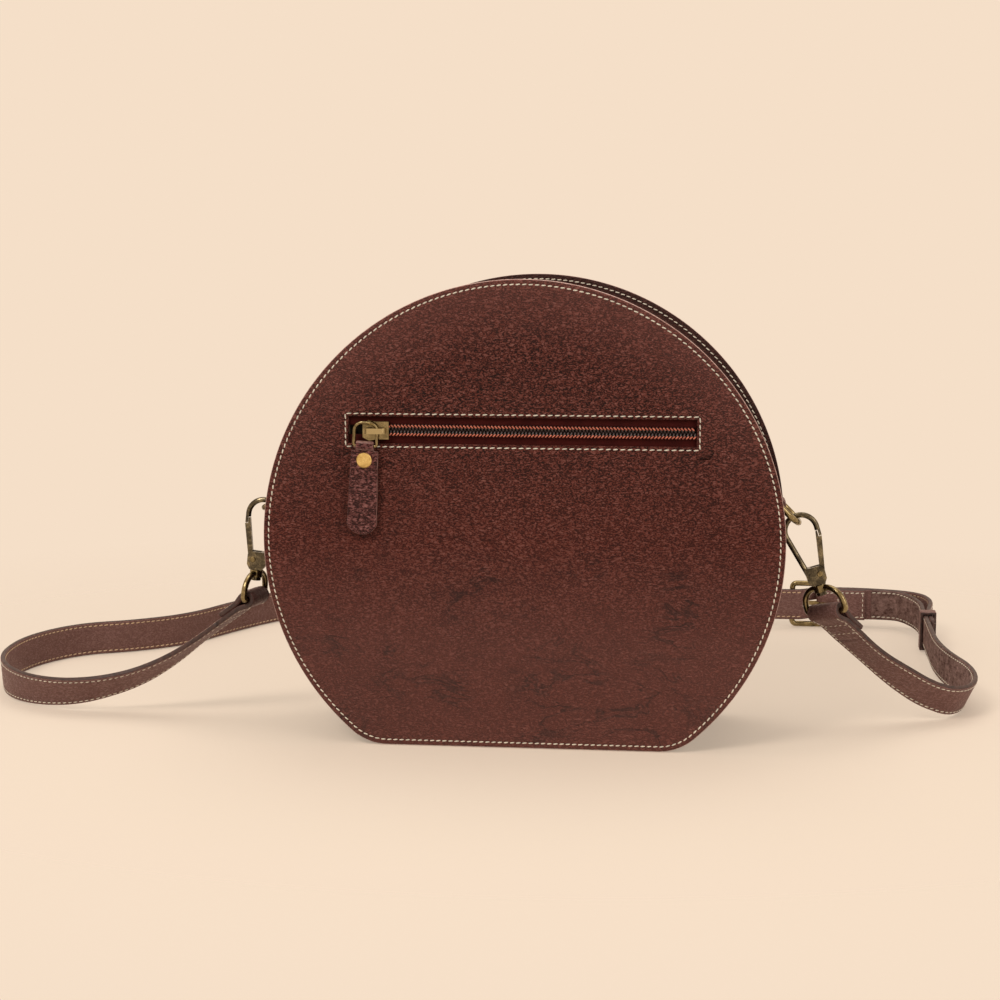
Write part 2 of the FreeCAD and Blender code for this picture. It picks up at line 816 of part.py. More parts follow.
def make_pocket_slider():
    place = Vector(size.slider_park.value - window_half.value, -panel_inner.value, zip_line.value)
    make_slider("pocket_zip_slider", place, Vector(1, 0, 0), Vector(0, 0, 1))
    lean = math.radians(size.pull_lean.value)
    axes = (Vector(math.cos(lean), 0, -math.sin(lean)), Vector(math.sin(lean), 0, math.cos(lean)))
    bar = place + Vector(-size.ring_offset.value, -ring_level.value, -size.ring_drop_below.value)
    make_pull("pocket_zip", bar, axes, axes)


def turned_along(along, out, angle):
    return along * math.cos(math.radians(angle)) + out * math.sin(math.radians(angle))


def make_main_slider():
    """The main slider, parked at the left end of its chain, with its pull lying down the gusset."""
    angle = math.radians(-slider_turn.value)
    along = Vector(math.cos(angle), 0, -math.sin(angle))
    out = Vector(math.sin(angle), 0, math.cos(angle))
    place = Vector(0, 0, centre.value) + out * tape_outer.value
    make_slider("main_zip_slider", place, along, Vector(0, 1, 0))
    ring_up = turned_along(along, out, size.ring_tilt.value)
    bar = place + out * ring_level.value - ring_up * size.ring_height.value
    tab_up = turned_along(along, out, size.pull_tilt.value)
    across = Vector(0, -1, 0)
    make_pull("main_zip", bar, (across, ring_up), (across, tab_up))


side_bore = size.dring_wire / 2 + size.wire_play
side_sleeve = side_bore + size.side_tab_leather
side_radius = wall_outer + size.layer_gap + side_sleeve


def make_side(side, sign, drop):
    """A folded leather tab on the gusset and the D-ring that it holds."""
    body = new_body(f"side_tab_{side}")
    bind(body, "Placement.Base.y", size.side_tab_width / 2)
    flap_low = wall_outer + size.layer_gap
    flap_end = size.side_tab_angle + degrees_of(size.side_tab_length, flap_low)
    start, end = size.side_tab_angle * sign, flap_end * sign
    bar = on_arc(side_radius, start)
    sleeve = sketch_on(body, "XZ_Plane")
    circle(sleeve, bar, side_sleeve)
    pad(body, sleeve, size.side_tab_width)
    flap = sketch_on(body, "XZ_Plane")
    angles = (start, end) if sign > 0 else (end, start)
    sector(flap, flap_low, flap_low + size.side_tab_leather * 2, *angles)
    pad(body, flap, size.side_tab_width)
    hole = sketch_on(body, "XZ_Plane")
    circle(hole, bar, side_bore)
    pocket(body, hole, size.side_tab_width)
    keep(body)
    ring = wire_ring(
        f"d_ring_{side}",
        size.dring_span,
        size.dring_height,
        size.dring_corner,
        size.dring_span / 2,
        size.dring_wire,
    )
    fall = math.radians(drop.value)
    outward = Vector(sign * math.cos(fall), 0, -math.sin(fall))
    set_axes(ring, Vector(bar[0].value, 0, bar[1].value), Vector(0, 1, 0), outward)


# Heights on a snap hook, from the bar of its swivel loop along the hook's axis.
base_low = size.loop_height + size.hub_height / 2 + size.swivel_lift
base_high = base_low + size.hook_base_height
head_high = size.loop_height - size.hub_height / 2 - size.swivel_lift
pin_height = base_low + size.gate_pin_rise
pin_out = size.gate_pin_shift
gate_slot_wall = pin_out - size.gate_heel - size.gate_spring_room
eye_height = base_low + size.hook_eye_rise
nose_low = eye_height - size.hook_nose_drop
nose_out = size.hook_eye_radius - size.hook_eye_shift


def hook_frame(side):
    """Bar centre, gate direction, axis and loop bar direction of one snap hook."""
    sign = 1 if side == "right" else -1
    lean = math.radians(getattr(size, f"{side}_hook_lean").value)
    turn = math.radians(getattr(size, f"{side}_loop_turn").value)
    ring_out, ring_height = on_arc(side_radius, size.side_tab_angle)
    bar_out = ring_out + getattr(size, f"{side}_bar_gap")
    bar_height = ring_height - getattr(size, f"{side}_bar_drop")
    bar = Vector(sign * bar_out.value, 0, bar_height.value)
    axis = Vector(-sign * math.sin(lean), 0, math.cos(lean))
    gate_way = Vector(sign * math.cos(lean), 0, math.sin(lean))
    along = gate_way * (sign * math.cos(turn)) + Vector(0, math.sin(turn), 0)
    return bar, gate_way, axis, along


def make_hook_body(label):
    """Base block, swivel shank and the bent wire of the eye, slotted for the gate and notched at the nose."""
    body = new_body(label)
    block = sketch_on(body, "XZ_Plane", -size.hook_base_thickness / 2)
    rows = [
        (base_low + size.hook_base_height * rise, size.hook_base_width * gate, size.hook_base_width * leg)
        for rise, gate, leg in BASE_SHARES
    ]
    gate_side = [(gate, height) for height, gate, leg in rows]
    leg_side = [(-leg, height) for height, gate, leg in reversed(rows)]
    draw(block, gate_side + leg_side)
    pad(body, block, size.hook_base_thickness)
    shank = sketch_on(body, "XY_Plane", head_high - size.shank_head_height)
    circle(shank, (ZERO, ZERO), size.shank_radius)
    pad(body, shank, base_low + size.swivel_lift - head_high + size.shank_head_height)
    head = sketch_on(body, "XY_Plane", head_high - size.shank_head_height)
    circle(head, (ZERO, ZERO), size.shank_head_radius)
    pad(body, head, size.shank_head_height)
    path = sketch_on(body, "XZ_Plane")
    lean = size.hook_leg_lean
    touch_out = -size.hook_eye_shift - size.hook_eye_radius * cosine(lean)
    touch_height = eye_height - size.hook_eye_radius * sine(lean)
    foot_height = base_low + size.hook_base_height * BASE_SHARES[2][0] - size.hook_wire
    foot_out = touch_out + (touch_height - foot_height) * tangent(lean)
    eye_top = (-size.hook_eye_shift, eye_height + size.hook_eye_radius)
    corners = [(foot_out, foot_height), (touch_out, touch_height), eye_top]
    corners += [(nose_out, eye_height), (nose_out, nose_low)]
    bend = (size.hook_eye_radius, -1, False)
    draw(path, corners, {1: bend, 2: bend}, closed=False)
    doc.recompute()
    section = body.newObject("Sketcher::SketchObject", f"{label}_section")
    section.AttachmentSupport = [(path, "Edge1")]
    section.MapMode = "NormalToEdge"
    circle(section, (ZERO, ZERO), size.hook_wire / 2)
    doc.recompute()
    pipe = body.newObject("PartDesign::AdditivePipe", f"{label}_pipe")
    pipe.Profile = section
    pipe.Spine = (path, ["Edge1", "Edge2", "Edge3", "Edge4"])
    doc.recompute()
    latch = sketch_on(body, "XZ_Plane", -size.hook_wire)
    latch_top = nose_low + size.nose_latch
    rectangle(latch, nose_out - size.hook_wire, nose_out, nose_low - size.hook_wire, latch_top)
    pocket(body, latch, size.hook_wire * 2)
    slot = sketch_on(body, "XZ_Plane", -size.gate_slot / 2)
    slot_floor = pin_height - size.gate_heel - size.gate_spring
    rectangle(slot, gate_slot_wall, size.hook_base_width, slot_floor, base_high + size.layer_gap)
    pocket(body, slot, size.gate_slot)
    hole = sketch_on(body, "XZ_Plane", -size.hook_base_thickness / 2)
    circle(hole, (pin_out, pin_height), size.gate_pin_radius)
    pocket(body, hole, size.hook_base_thickness)
    return keep(body)


def make_gate(label):
    """The lever that closes the eye, from its heel on the pin to a tongue that laps behind the nose."""
    body = new_body(label)
    lift = -size.gate_thickness / 2
    tip = nose_low - size.gate_tip_gap
    tongue = nose_low + size.nose_latch - size.gate_tip_gap
    lap = nose_out - size.nose_latch_play
    heel = sketch_on(body, "XZ_Plane", lift)
    circle(heel, (pin_out, pin_height), size.gate_heel)
    pad(body, heel, size.gate_thickness)
    bar = sketch_on(body, "XZ_Plane", lift)
    half = size.gate_bar / 2
    foot_out = pin_out + size.gate_heel - half
    foot = pin_height - size.gate_heel / 2
    corners = [(foot_out - half, foot), (foot_out + half, foot)]
    corners += [(nose_out + half, tip), (lap, tip), (lap, tongue), (nose_out - half, tongue)]
    draw(bar, corners)
    pad(body, bar, size.gate_thickness)
    hole = sketch_on(body, "XZ_Plane", lift)
    circle(hole, (pin_out, pin_height), size.gate_pin_radius + size.gate_pin_play)
    pocket(body, hole, size.gate_thickness)
    return keep(body)


def make_gate_spring(label):
    """A bent leaf in the slot, standing behind the heel and reaching over it to the gate."""
    body = new_body(label)
    leaf = size.gate_spring
    back = gate_slot_wall + leaf / 2
    low = pin_height - size.gate_heel
    over = pin_height + size.gate_heel + leaf
    reach = pin_out + size.gate_heel - size.gate_bar + leaf / 2
    corners = [(back, low), (back + leaf, low), (back + leaf, over), (reach, over), (reach, over + leaf)]
    corners.append((back, over + leaf))
    sketch = sketch_on(body, "XZ_Plane", -size.gate_thickness / 2)
    draw(sketch, corners)
    pad(body, sketch, size.gate_thickness)
    return keep(body)


def make_gate_pin(label):
    """A pin with a low head on each side of the base."""
    body = new_body(label)
    shank = size.gate_pin_radius
    head = size.gate_pin_head
    face = size.hook_base_thickness / 2
    end = face + size.gate_pin_head_rise
    half = [(ZERO, end), (head - size.gate_pin_head_rise, end), (head, face), (shank, face)]
    section = sketch_on(body, "XZ_Plane")
    draw(section, half + [(out, -rise) for out, rise in reversed(half)])
    turned = body.newObject("PartDesign::Revolution", f"{label}_turned")
    turned.Profile = section
    turned.ReferenceAxis = (section, ["V_Axis"])
    doc.recompute()
    return keep(body)


def make_swivel_loop(label):
    """The ring that the strap is sewn round, with a bored hub for the hook's shank."""
    ring = wire_ring(
        label,
        size.loop_span,
        size.loop_height,
        size.loop_bar_corner,
        size.loop_top_corner,
        size.loop_wire,
    )
    hub = sketch_on(ring, "XZ_Plane", -(size.loop_height + size.hub_height / 2))
    circle(hub, (ZERO, ZERO), size.hub_radius)
    pad(ring, hub, size.hub_height)
    bore = sketch_on(ring, "XZ_Plane", -(size.loop_height + size.hub_height / 2))
    circle(bore, (ZERO, ZERO), size.shank_radius + size.swivel_play)
    pocket(ring, bore, size.hub_height)
    return ring


def make_hook(side):
    bar, gate_way, axis, along = hook_frame(side)
    across = axis.cross(gate_way)
    for piece in (
        make_hook_body(f"hook_body_{side}"),
        make_gate(f"hook_gate_{side}"),
        make_gate_spring(f"gate_spring_{side}"),
    ):
        set_axes(piece, bar, gate_way, across)
    pin = make_gate_pin(f"gate_pin_{side}")
    pin_place = bar + gate_way * pin_out.value + axis * pin_height.value
    set_axes(pin, pin_place, axis, gate_way)
    set_axes(make_swivel_loop(f"swivel_loop_{side}"), bar, along, axis)


def strap_leave(side):
    """Bar centre, strap direction and outer face direction where a strap half leaves its loop."""
    bar, gate_way, axis, along = hook_frame(side)
    lift = math.radians(getattr(size, f"{side}_strap_lift").value)
    outward = along.cross(axis) * -1
    way = axis * -math.cos(lift) + outward * math.sin(lift)
    face = way.cross(along)
    return bar, way, face if face.z < 0 else face * -1


def make_fold(label, wire, lengths, bar, way, face):
    """A sewn strap end: a sleeve round a bar, the folded tail under it, and the neck of the strap."""
    body = new_body(label)
    thick = size.strap_thickness
    bore = wire / 2 + size.wire_play
    lift = -size.strap_width / 2
    sleeve = sketch_on(body, "XY_Plane", lift)
    circle(sleeve, (ZERO, ZERO), bore + thick)
    pad(body, sleeve, size.strap_width)
    layers = sketch_on(body, "XY_Plane", lift)
    tail, neck = lengths
    corners = [(ZERO, -thick), (tail, -thick), (tail, ZERO), (neck, ZERO), (neck, thick), (ZERO, thick)]
    draw(layers, corners)
    pad(body, layers, size.strap_width)
    hole = sketch_on(body, "XY_Plane", lift)
    circle(hole, (ZERO, ZERO), bore)
    pocket(body, hole, size.strap_width)
    set_axes(body, bar, way, face)
    return body


hook_fold = (size.fold_tail, size.fold_neck)
heel_fold = (size.heel_fold_tail, size.heel_fold_neck)


def neck_end(lengths, bar, way, face):
    return bar + way * lengths[1].value + face * (size.strap_thickness.value / 2)


def spline_of(poles):
    """A curve of degree 2 that starts at the first point, ends at the last and follows the rest."""
    curve = Part.BSplineCurve()
    spans = len(poles) - 2
    multiplicities = [3] + [1] * (spans - 1) + [3]
    curve.buildFromPolesMultsKnots(poles, multiplicities, list(range(spans + 1)), False, 2)
    return curve


def strap_frame(curve, tilts, at):
    """Point, direction, width direction and face direction of a strap at one place on its route."""
    point = curve.value(at)
    way = Vector(curve.tangent(at)[0])
    up = Vector(0, 0, 1) - way * way.z
    up.normalize()
    side = way.cross(up)
    tilt = math.radians(tilts.value(at).x)
    width = up * math.cos(tilt) + side * math.sin(tilt)
    return point, way, width, way.cross(width)


SECTIONS_PER_SPAN = 4


def strap_loft(poles, tilt_angles):
    """A flat strap lofted through square-cut sections along its route."""
    curve = spline_of(poles)
    tilts = spline_of([Vector(angle, 0, 0) for angle in tilt_angles])
    spans = len(poles) - 2
    half_width = size.strap_width.value / 2
    half_thick = size.strap_thickness.value / 2
    wires = []
    for step in range(spans * SECTIONS_PER_SPAN + 1):
        point, way, width, face = strap_frame(curve, tilts, step / SECTIONS_PER_SPAN)
        reach, depth = width * half_width, face * half_thick
        ring = [point + reach + depth, point - reach + depth, point - reach - depth, point + reach - depth]
        wires.append(Part.makePolygon(ring + ring[:1]))
    solid = Part.makeLoft(wires, True, True)
    section = size.strap_width.value * size.strap_thickness.value
    print(f"strap length {curve.length():.1f} mm, volume over section {solid.Volume / section:.1f} mm")
    return solid, curve, tilts


def tilt_at(way, width):
    """The tilt angle whose width direction is the given one, up to its sign."""
    up = Vector(0, 0, 1) - way * way.z
    up.normalize()
    return math.degrees(math.atan2(width.dot(way.cross(up)), width.dot(up)))


def feature_of(label, shape):
    feature = doc.addObject("Part::Feature", label)
    feature.Shape = shape
    feature.Label = label
    return feature


def fuse(label, pieces):
    feature = doc.addObject("Part::MultiFuse", label)
    feature.Label = label
    feature.Shapes = pieces
    feature.Refine = True
    doc.recompute()
    return feature


# Heights and depths at the buckle and the keeper.
buckle_middle = size.buckle_height / 2 + size.buckle_wire / 2
keeper_middle = size.strap_width / 2 + size.wire_play + size.keeper_leather + size.keeper_lift
heel_sleeve = size.buckle_wire / 2 + size.wire_play + size.strap_thickness
inner_back = size.buckle_back - size.buckle_wire / 2 - size.wire_play - size.strap_thickness / 2
outer_back = size.buckle_back + heel_sleeve + size.wire_play + size.strap_thickness / 2
front_bar_out = size.buckle_out - size.buckle_length
outer_lane = size.keeper_out + size.strap_thickness + size.wire_play


def make_strap_long():
    """From the left hook round behind the bag, through the buckle, to its tip in the keeper."""
    bar, way, face = strap_leave("left")
    start = neck_end(hook_fold, bar, way, face)
    lead = start + way * size.fold_lead.value
    first_tilt = tilt_at(way, way.cross(face))
    first_tilt -= 180 if first_tilt > 0 else 0
    level = buckle_middle.value
    keeper_level = keeper_middle.value
    front_bar = front_bar_out.value
    heel = size.buckle_out.value
    wire = size.buckle_wire.value
    sleeve = heel_sleeve.value
    lane = outer_lane.value
    back = size.keeper_back.value
    length = size.keeper_length.value
    poles = [start, lead] + [Vector(x, y, z) for x, y, z, tilt in LONG_ROUTE]
    poles.append(Vector(front_bar - size.strap_width.value, inner_back.value, level))
    for past, off in BUCKLE_IN_SHARES:
        poles.append(Vector(front_bar + wire * past, inner_back.value + sleeve * off, level))
    for past, off in BUCKLE_OUT_SHARES:
        poles.append(Vector(heel + sleeve * past, outer_back.value - sleeve * off, level))
    poles.append(Vector(heel + size.heel_fold_tail.value, outer_back.value, level))
    between = (level + keeper_level) / 2
    for out, off in LONG_TURN_SHARES:
        poles.append(Vector(lane + length * out, outer_back.value - length * off, between))
    poles += [Vector(lane, back + length * share, keeper_level) for share in LONG_KEEPER_SHARES]
    tilts = [first_tilt, first_tilt] + [tilt for x, y, z, tilt in LONG_ROUTE]
    tilts += [0] * (len(poles) - len(tilts))
    shape, curve, tilt_curve = strap_loft(poles, tilts)
    ribbon = feature_of("strap_long_ribbon", shape)
    fold = make_fold("strap_long_fold", size.loop_wire, hook_fold, bar, way, face)
    whole = fuse("strap_long_whole", [fold, ribbon])
    prong_place = (front_bar_out + size.buckle_out) / 2 + size.prong_slot_shift
    half_slot = size.prong_slot / 2
    half_hole = size.strap_hole / 2
    low = (prong_place - half_slot, inner_back - size.strap_width, buckle_middle - half_hole)
    high = (prong_place + half_slot, outer_back + size.strap_width, buckle_middle + half_hole)
    slot = bound_box("strap_prong_slot", low, high)
    middle = curve.parameter(Vector(prong_place.value, (inner_back.value + outer_back.value) / 2, level))
    punches = []
    for step in HOLE_STEPS:
        travel = curve.length(0, middle) + step * size.strap_hole_pitch.value
        point, ahead, width, out = strap_frame(curve, tilt_curve, curve.parameterAtDistance(travel, 0))
        depth = size.strap_thickness.value
        punches.append(Part.makeCylinder(half_hole.value, depth * 2, point - out * depth, out))
    holes = feature_of("strap_punched_holes", Part.makeCompound(punches))
    keep(cut("strap_long", cut("strap_long_slotted", whole, slot), holes))


def make_strap_short():
    """From the right hook out along the floor and back to the buckle's heel bar."""
    bar, way, face = strap_leave("right")
    start = neck_end(hook_fold, bar, way, face)
    lead = start + way * size.fold_lead.value
    first_tilt = tilt_at(way, way.cross(face))
    first_tilt += 180 if first_tilt < 0 else 0
    level = buckle_middle.value
    keeper_level = keeper_middle.value
    back = size.keeper_back.value
    length = size.keeper_length.value
    lane = size.keeper_out.value
    heel = Vector(size.buckle_out.value, size.buckle_back.value, level)
    end = neck_end(heel_fold, heel, Vector(1, 0, 0), Vector(0, 1, 0))
    poles = [start, lead] + [Vector(x, y, z) for x, y, z, tilt in SHORT_ROUTE]
    poles += [Vector(lane, back + length * share, keeper_level) for share in SHORT_KEEPER_SHARES]
    heights = ((level + keeper_level) / 2, level)
    for (off, before), height in zip(SHORT_TURN_SHARES, heights):
        poles.append(Vector(lane - length * off, end.y - length * before, height))
    poles += [Vector(end.x + length, end.y, level), end]
    tilts = [first_tilt, first_tilt] + [tilt for x, y, z, tilt in SHORT_ROUTE]
    tilts += [0] * (len(poles) - len(tilts))
    shape, _, _ = strap_loft(poles, tilts)
    ribbon = feature_of("strap_short_ribbon", shape)
    first = make_fold("strap_short_fold", size.loop_wire, hook_fold, bar, way, face)
    last = make_fold("strap_buckle_fold", size.buckle_wire, heel_fold, heel, Vector(1, 0, 0), Vector(0, 1, 0))
    whole = fuse("strap_short_whole", [first, ribbon, last])
    half_notch = size.prong_width / 2 + size.wire_play
    low = (size.buckle_out - heel_sleeve * 2, size.buckle_back - heel_sleeve * 2, buckle_middle - half_notch)
    high = (size.buckle_out + heel_sleeve, size.buckle_back + heel_sleeve * 2, buckle_middle + half_notch)
    keep(cut("strap_short", whole, bound_box("strap_prong_notch", low, high)))


def make_buckle():
    """A wire frame on the short strap's fold, with a prong that turns on the heel bar."""
    frame = wire_ring(
        "buckle_frame",
        size.buckle_height,
        size.buckle_length,
        size.buckle_corner,
        size.buckle_corner,
        size.buckle_wire,
    )
    heel = Vector(size.buckle_out.value, size.buckle_back.value, buckle_middle.value)
    set_axes(frame, heel, Vector(0, 0, 1), Vector(-1, 0, 0))
    prong = new_body("buckle_prong")
    lift = -size.prong_width / 2
    bore = size.buckle_wire / 2 + size.prong_play
    knuckle = sketch_on(prong, "XY_Plane", lift)
    circle(knuckle, (ZERO, ZERO), bore + size.prong_thickness)
    pad(prong, knuckle, size.prong_width)
    tongue = sketch_on(prong, "XY_Plane", lift)
    rest = size.buckle_wire / 2 + size.wire_play
    rectangle(tongue, -size.buckle_length - bore, ZERO, rest, rest + size.prong_thickness)
    pad(prong, tongue, size.prong_width)
    hole = sketch_on(prong, "XY_Plane", lift)
    circle(hole, (ZERO, ZERO), bore)
    pocket(prong, hole, size.prong_width)
    prong.Placement = FreeCAD.Placement(heel, FreeCAD.Rotation())
    keep(prong)


def make_keeper():
    """A leather loop round both strap layers."""
    body = new_body("strap_keeper")
    half_length = size.keeper_length / 2
    bind(body, "Placement.Base.y", size.keeper_back + half_length)
    near = size.keeper_out - size.strap_thickness / 2 - size.wire_play
    far = outer_lane + size.strap_thickness / 2 + size.wire_play
    half = size.strap_width / 2 + size.wire_play
    skin = size.keeper_leather
    sketch = sketch_on(body, "XZ_Plane")
    rectangle(sketch, near - skin, far + skin, keeper_middle - half - skin, keeper_middle + half + skin)
    rectangle(sketch, near, far, keeper_middle - half, keeper_middle + half)
    pad(body, sketch, size.keeper_length)
    keep(body)


make_panels()
make_boards()
make_gusset()
make_zip_strips()
make_linings()
make_pocket_bag()
make_pocket_tapes()
make_pocket_coils()
make_main_zip()
make_pocket_slider()
make_main_slider()
make_side("left", -1, size.dring_drop_left)
make_side("right", 1, size.dring_drop_right)
make_hook("left")
make_hook("right")
make_strap_long()
make_strap_short()
make_buckle()
make_keeper()
doc.recompute()

for thing in doc.Objects:
    if "Invalid" in thing.State or "Error" in thing.State:
        raise RuntimeError(f"{thing.Label}: {thing.State}")
for node in nodes:
    if node.Shape.isNull() or not node.Shape.isValid():
        raise RuntimeError(f"{node.Label}: shape is null or not valid")
os.makedirs("parts", exist_ok=True)
for node in nodes:
    node.Shape.exportStep(f"parts/{node.Label}.step")
print(f"{len(nodes)} sub-parts written")
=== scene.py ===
from bisect import bisect_left
from itertools import accumulate
from math import atan2, cos, exp, hypot, pi, radians, sin, sqrt

import bmesh
import bpy
import numpy as np
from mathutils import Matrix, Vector, noise


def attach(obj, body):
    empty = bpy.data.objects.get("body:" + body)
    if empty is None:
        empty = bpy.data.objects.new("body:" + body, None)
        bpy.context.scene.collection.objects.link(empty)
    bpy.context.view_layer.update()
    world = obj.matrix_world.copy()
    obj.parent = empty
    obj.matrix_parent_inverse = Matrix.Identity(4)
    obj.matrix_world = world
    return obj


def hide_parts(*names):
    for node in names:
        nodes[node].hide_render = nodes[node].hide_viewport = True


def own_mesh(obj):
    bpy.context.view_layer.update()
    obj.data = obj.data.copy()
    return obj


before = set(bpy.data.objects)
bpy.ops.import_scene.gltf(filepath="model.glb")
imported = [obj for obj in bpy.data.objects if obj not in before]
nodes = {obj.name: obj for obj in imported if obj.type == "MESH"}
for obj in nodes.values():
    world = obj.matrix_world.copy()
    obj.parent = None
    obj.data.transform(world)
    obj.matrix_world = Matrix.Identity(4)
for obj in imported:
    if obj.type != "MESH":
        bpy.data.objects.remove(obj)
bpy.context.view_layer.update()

MM = 0.001

# Sizes in metres, as in the part's source.
RADIUS = 125 * MM
CENTRE = 100 * MM
MIDDLE = Vector((0, 0, CENTRE))
CORNER = 26 * MM
HALF_DEPTH = 41 * MM
PANEL = 2 * MM
SEAM = 5 * MM
WALL = 1.5 * MM
MOUTH = 7 * MM
ZIP_ANGLE = radians(56)
ZIP_LINE = 153.5 * MM
WINDOW_HALF = 82.5 * MM
WINDOW_RISE = 6.3 * MM
TAPE_NEAR = 2.2 * MM
TAPE_FAR = 14.2 * MM
TAPE_OUTER = 118.35 * MM
TAPE_FRONT = -39 * MM
TAPE_BACK = -38.35 * MM
TAPE_HALF = 86.5 * MM
CHAIN_PITCH = 1.65 * MM
MAIN_SLIDER_OUT = (-0.7966, 0, 0.6045)
STRAP_WIDTH = 19 * MM
STRAP_THICK = 2.6 * MM


# Meshes and objects


def set_all(thing, **values):
    for name, value in values.items():
        setattr(thing, name, value)


def add_object(name, data):
    obj = bpy.data.objects.new(name, data)
    bpy.context.scene.collection.objects.link(obj)
    return obj


def dress(mesh, *materials):
    mesh.materials.clear()
    for material in materials:
        mesh.materials.append(material)


def new_object(name, verts, faces, *materials, smooth=True):
    mesh = bpy.data.meshes.new(name)
    mesh.from_pydata([tuple(v) for v in verts], [], faces)
    mesh.update()
    dress(mesh, *materials)
    if smooth:
        mesh.shade_smooth()
    return add_object(name, mesh)


def node_copy(name, node, material):
    """A new object with a copy of a CAD node's mesh."""
    mesh = nodes[node].data.copy()
    dress(mesh, material)
    return add_object(name, mesh)


def modify(obj, kind, **settings):
    set_all(obj.modifiers.new(kind.lower(), kind), **settings)


def evaluated_mesh(obj):
    """The mesh that a curve makes, or an object with its modifiers done."""
    graph = bpy.context.evaluated_depsgraph_get()
    return bpy.data.meshes.new_from_object(obj.evaluated_get(graph))


def settle(obj):
    """Keep the mesh that an object's modifiers make, and drop them."""
    done = evaluated_mesh(obj)
    obj.modifiers.clear()
    obj.data = done


def recalc_normals(obj):
    work = bmesh.new()
    work.from_mesh(obj.data)
    bmesh.ops.recalc_face_normals(work, faces=work.faces)
    work.to_mesh(obj.data)
    work.free()


def tube_faces(start, rings, sides, closed=False):
    """Faces through rings of points, with the ends capped, or joined where it is closed."""
    faces = []
    for r in range(rings if closed else rings - 1):
        a, b = start + r * sides, start + (r + 1) % rings * sides
        for i in range(sides):
            j = (i + 1) % sides
            faces.append((a + i, a + j, b + j, b + i))
    if not closed:
        faces.append(tuple(range(start + sides - 1, start - 1, -1)))
        faces.append(tuple(range(b, b + sides)))
    return faces


def ring_of(point, first, second, count):
    """Points round a centre, from the directions and reaches of an ellipse's two axes."""
    angles = [2 * pi * i / count for i in range(count)]
    return [point + first * cos(angle) + second * sin(angle) for angle in angles]


def stand_in(node):
    """Hide a CAD node, for an object made in its place."""
    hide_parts(node)


def loft(name, rings, *materials, closed=False):
    """A piece of the bag through rings of points."""
    verts = [point for ring in rings for point in ring]
    obj = new_object(name, verts, tube_faces(0, len(rings), len(rings[0]), closed), *materials)
    recalc_normals(obj)
    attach(obj, "bag")
    return obj


def heading(points, i):
    """The direction of a line at one of its points."""
    return (points[min(i + 1, len(points) - 1)] - points[max(i - 1, 0)]).normalized()


def travelled(frames):
    """How far along a line each of its frames lies."""
    return [0.0, *accumulate((b[0] - a[0]).length for a, b in zip(frames, frames[1:]))]


def spread(start, end, steps):
    """Even values from start to end, both included."""
    return [start + (end - start) * i / steps for i in range(steps + 1)]


def smooth_step(share):
    share = max(0.0, min(1.0, share))
    return share * share * (3 - 2 * share)


# Materials


class Graph:
    """The nodes of a material or of the world, with short calls to add and join them."""

    def __init__(self, owner):
        owner.use_nodes = True
        self.owner = owner
        self.tree = owner.node_tree

    def fill(self, socket, value):
        if isinstance(value, bpy.types.NodeSocket):
            self.tree.links.new(value, socket)
        else:
            socket.default_value = value

    def node(self, kind, settings=None, **inputs):
        """A new node. An input goes by its name, or by its number after an underscore."""
        made = self.tree.nodes.new(kind)
        set_all(made, **(settings or {}))
        for name, value in inputs.items():
            self.fill(made.inputs[int(name[1:]) if name[0] == "_" else name], value)
        return made

    def math(self, kind, first, second=0.5, clamp=False):
        return self.node("ShaderNodeMath", {"operation": kind, "use_clamp": clamp}, _0=first, _1=second).outputs[0]

    def shares(self, first, share, second, rest):
        """Two values, each times its share, added up."""
        return self.math("ADD", self.math("MULTIPLY", first, share), self.math("MULTIPLY", second, rest))

    def ramp(self, value, *stops):
        """A colour ramp. A stop is a place with a colour, or with a number for a grey."""
        made = self.node("ShaderNodeValToRGB", _0=value)
        band = made.color_ramp
        while len(band.elements) < len(stops):
            band.elements.new(0.5)
        for element, (at, colour) in zip(band.elements, stops):
            element.position = at
            element.color = (*(colour if isinstance(colour, tuple) else [colour] * 3), 1)
        return made.outputs["Color"]

    def mix(self, factor, first, second, blend="MIX"):
        made = self.node("ShaderNodeMix", {"data_type": "RGBA", "blend_type": blend})
        sockets = [s for s in made.inputs if s.enabled]
        for socket, value in zip(sockets, (factor, first, second)):
            self.fill(socket, (*value, 1) if isinstance(value, tuple) else value)
        return next(s for s in made.outputs if s.enabled)


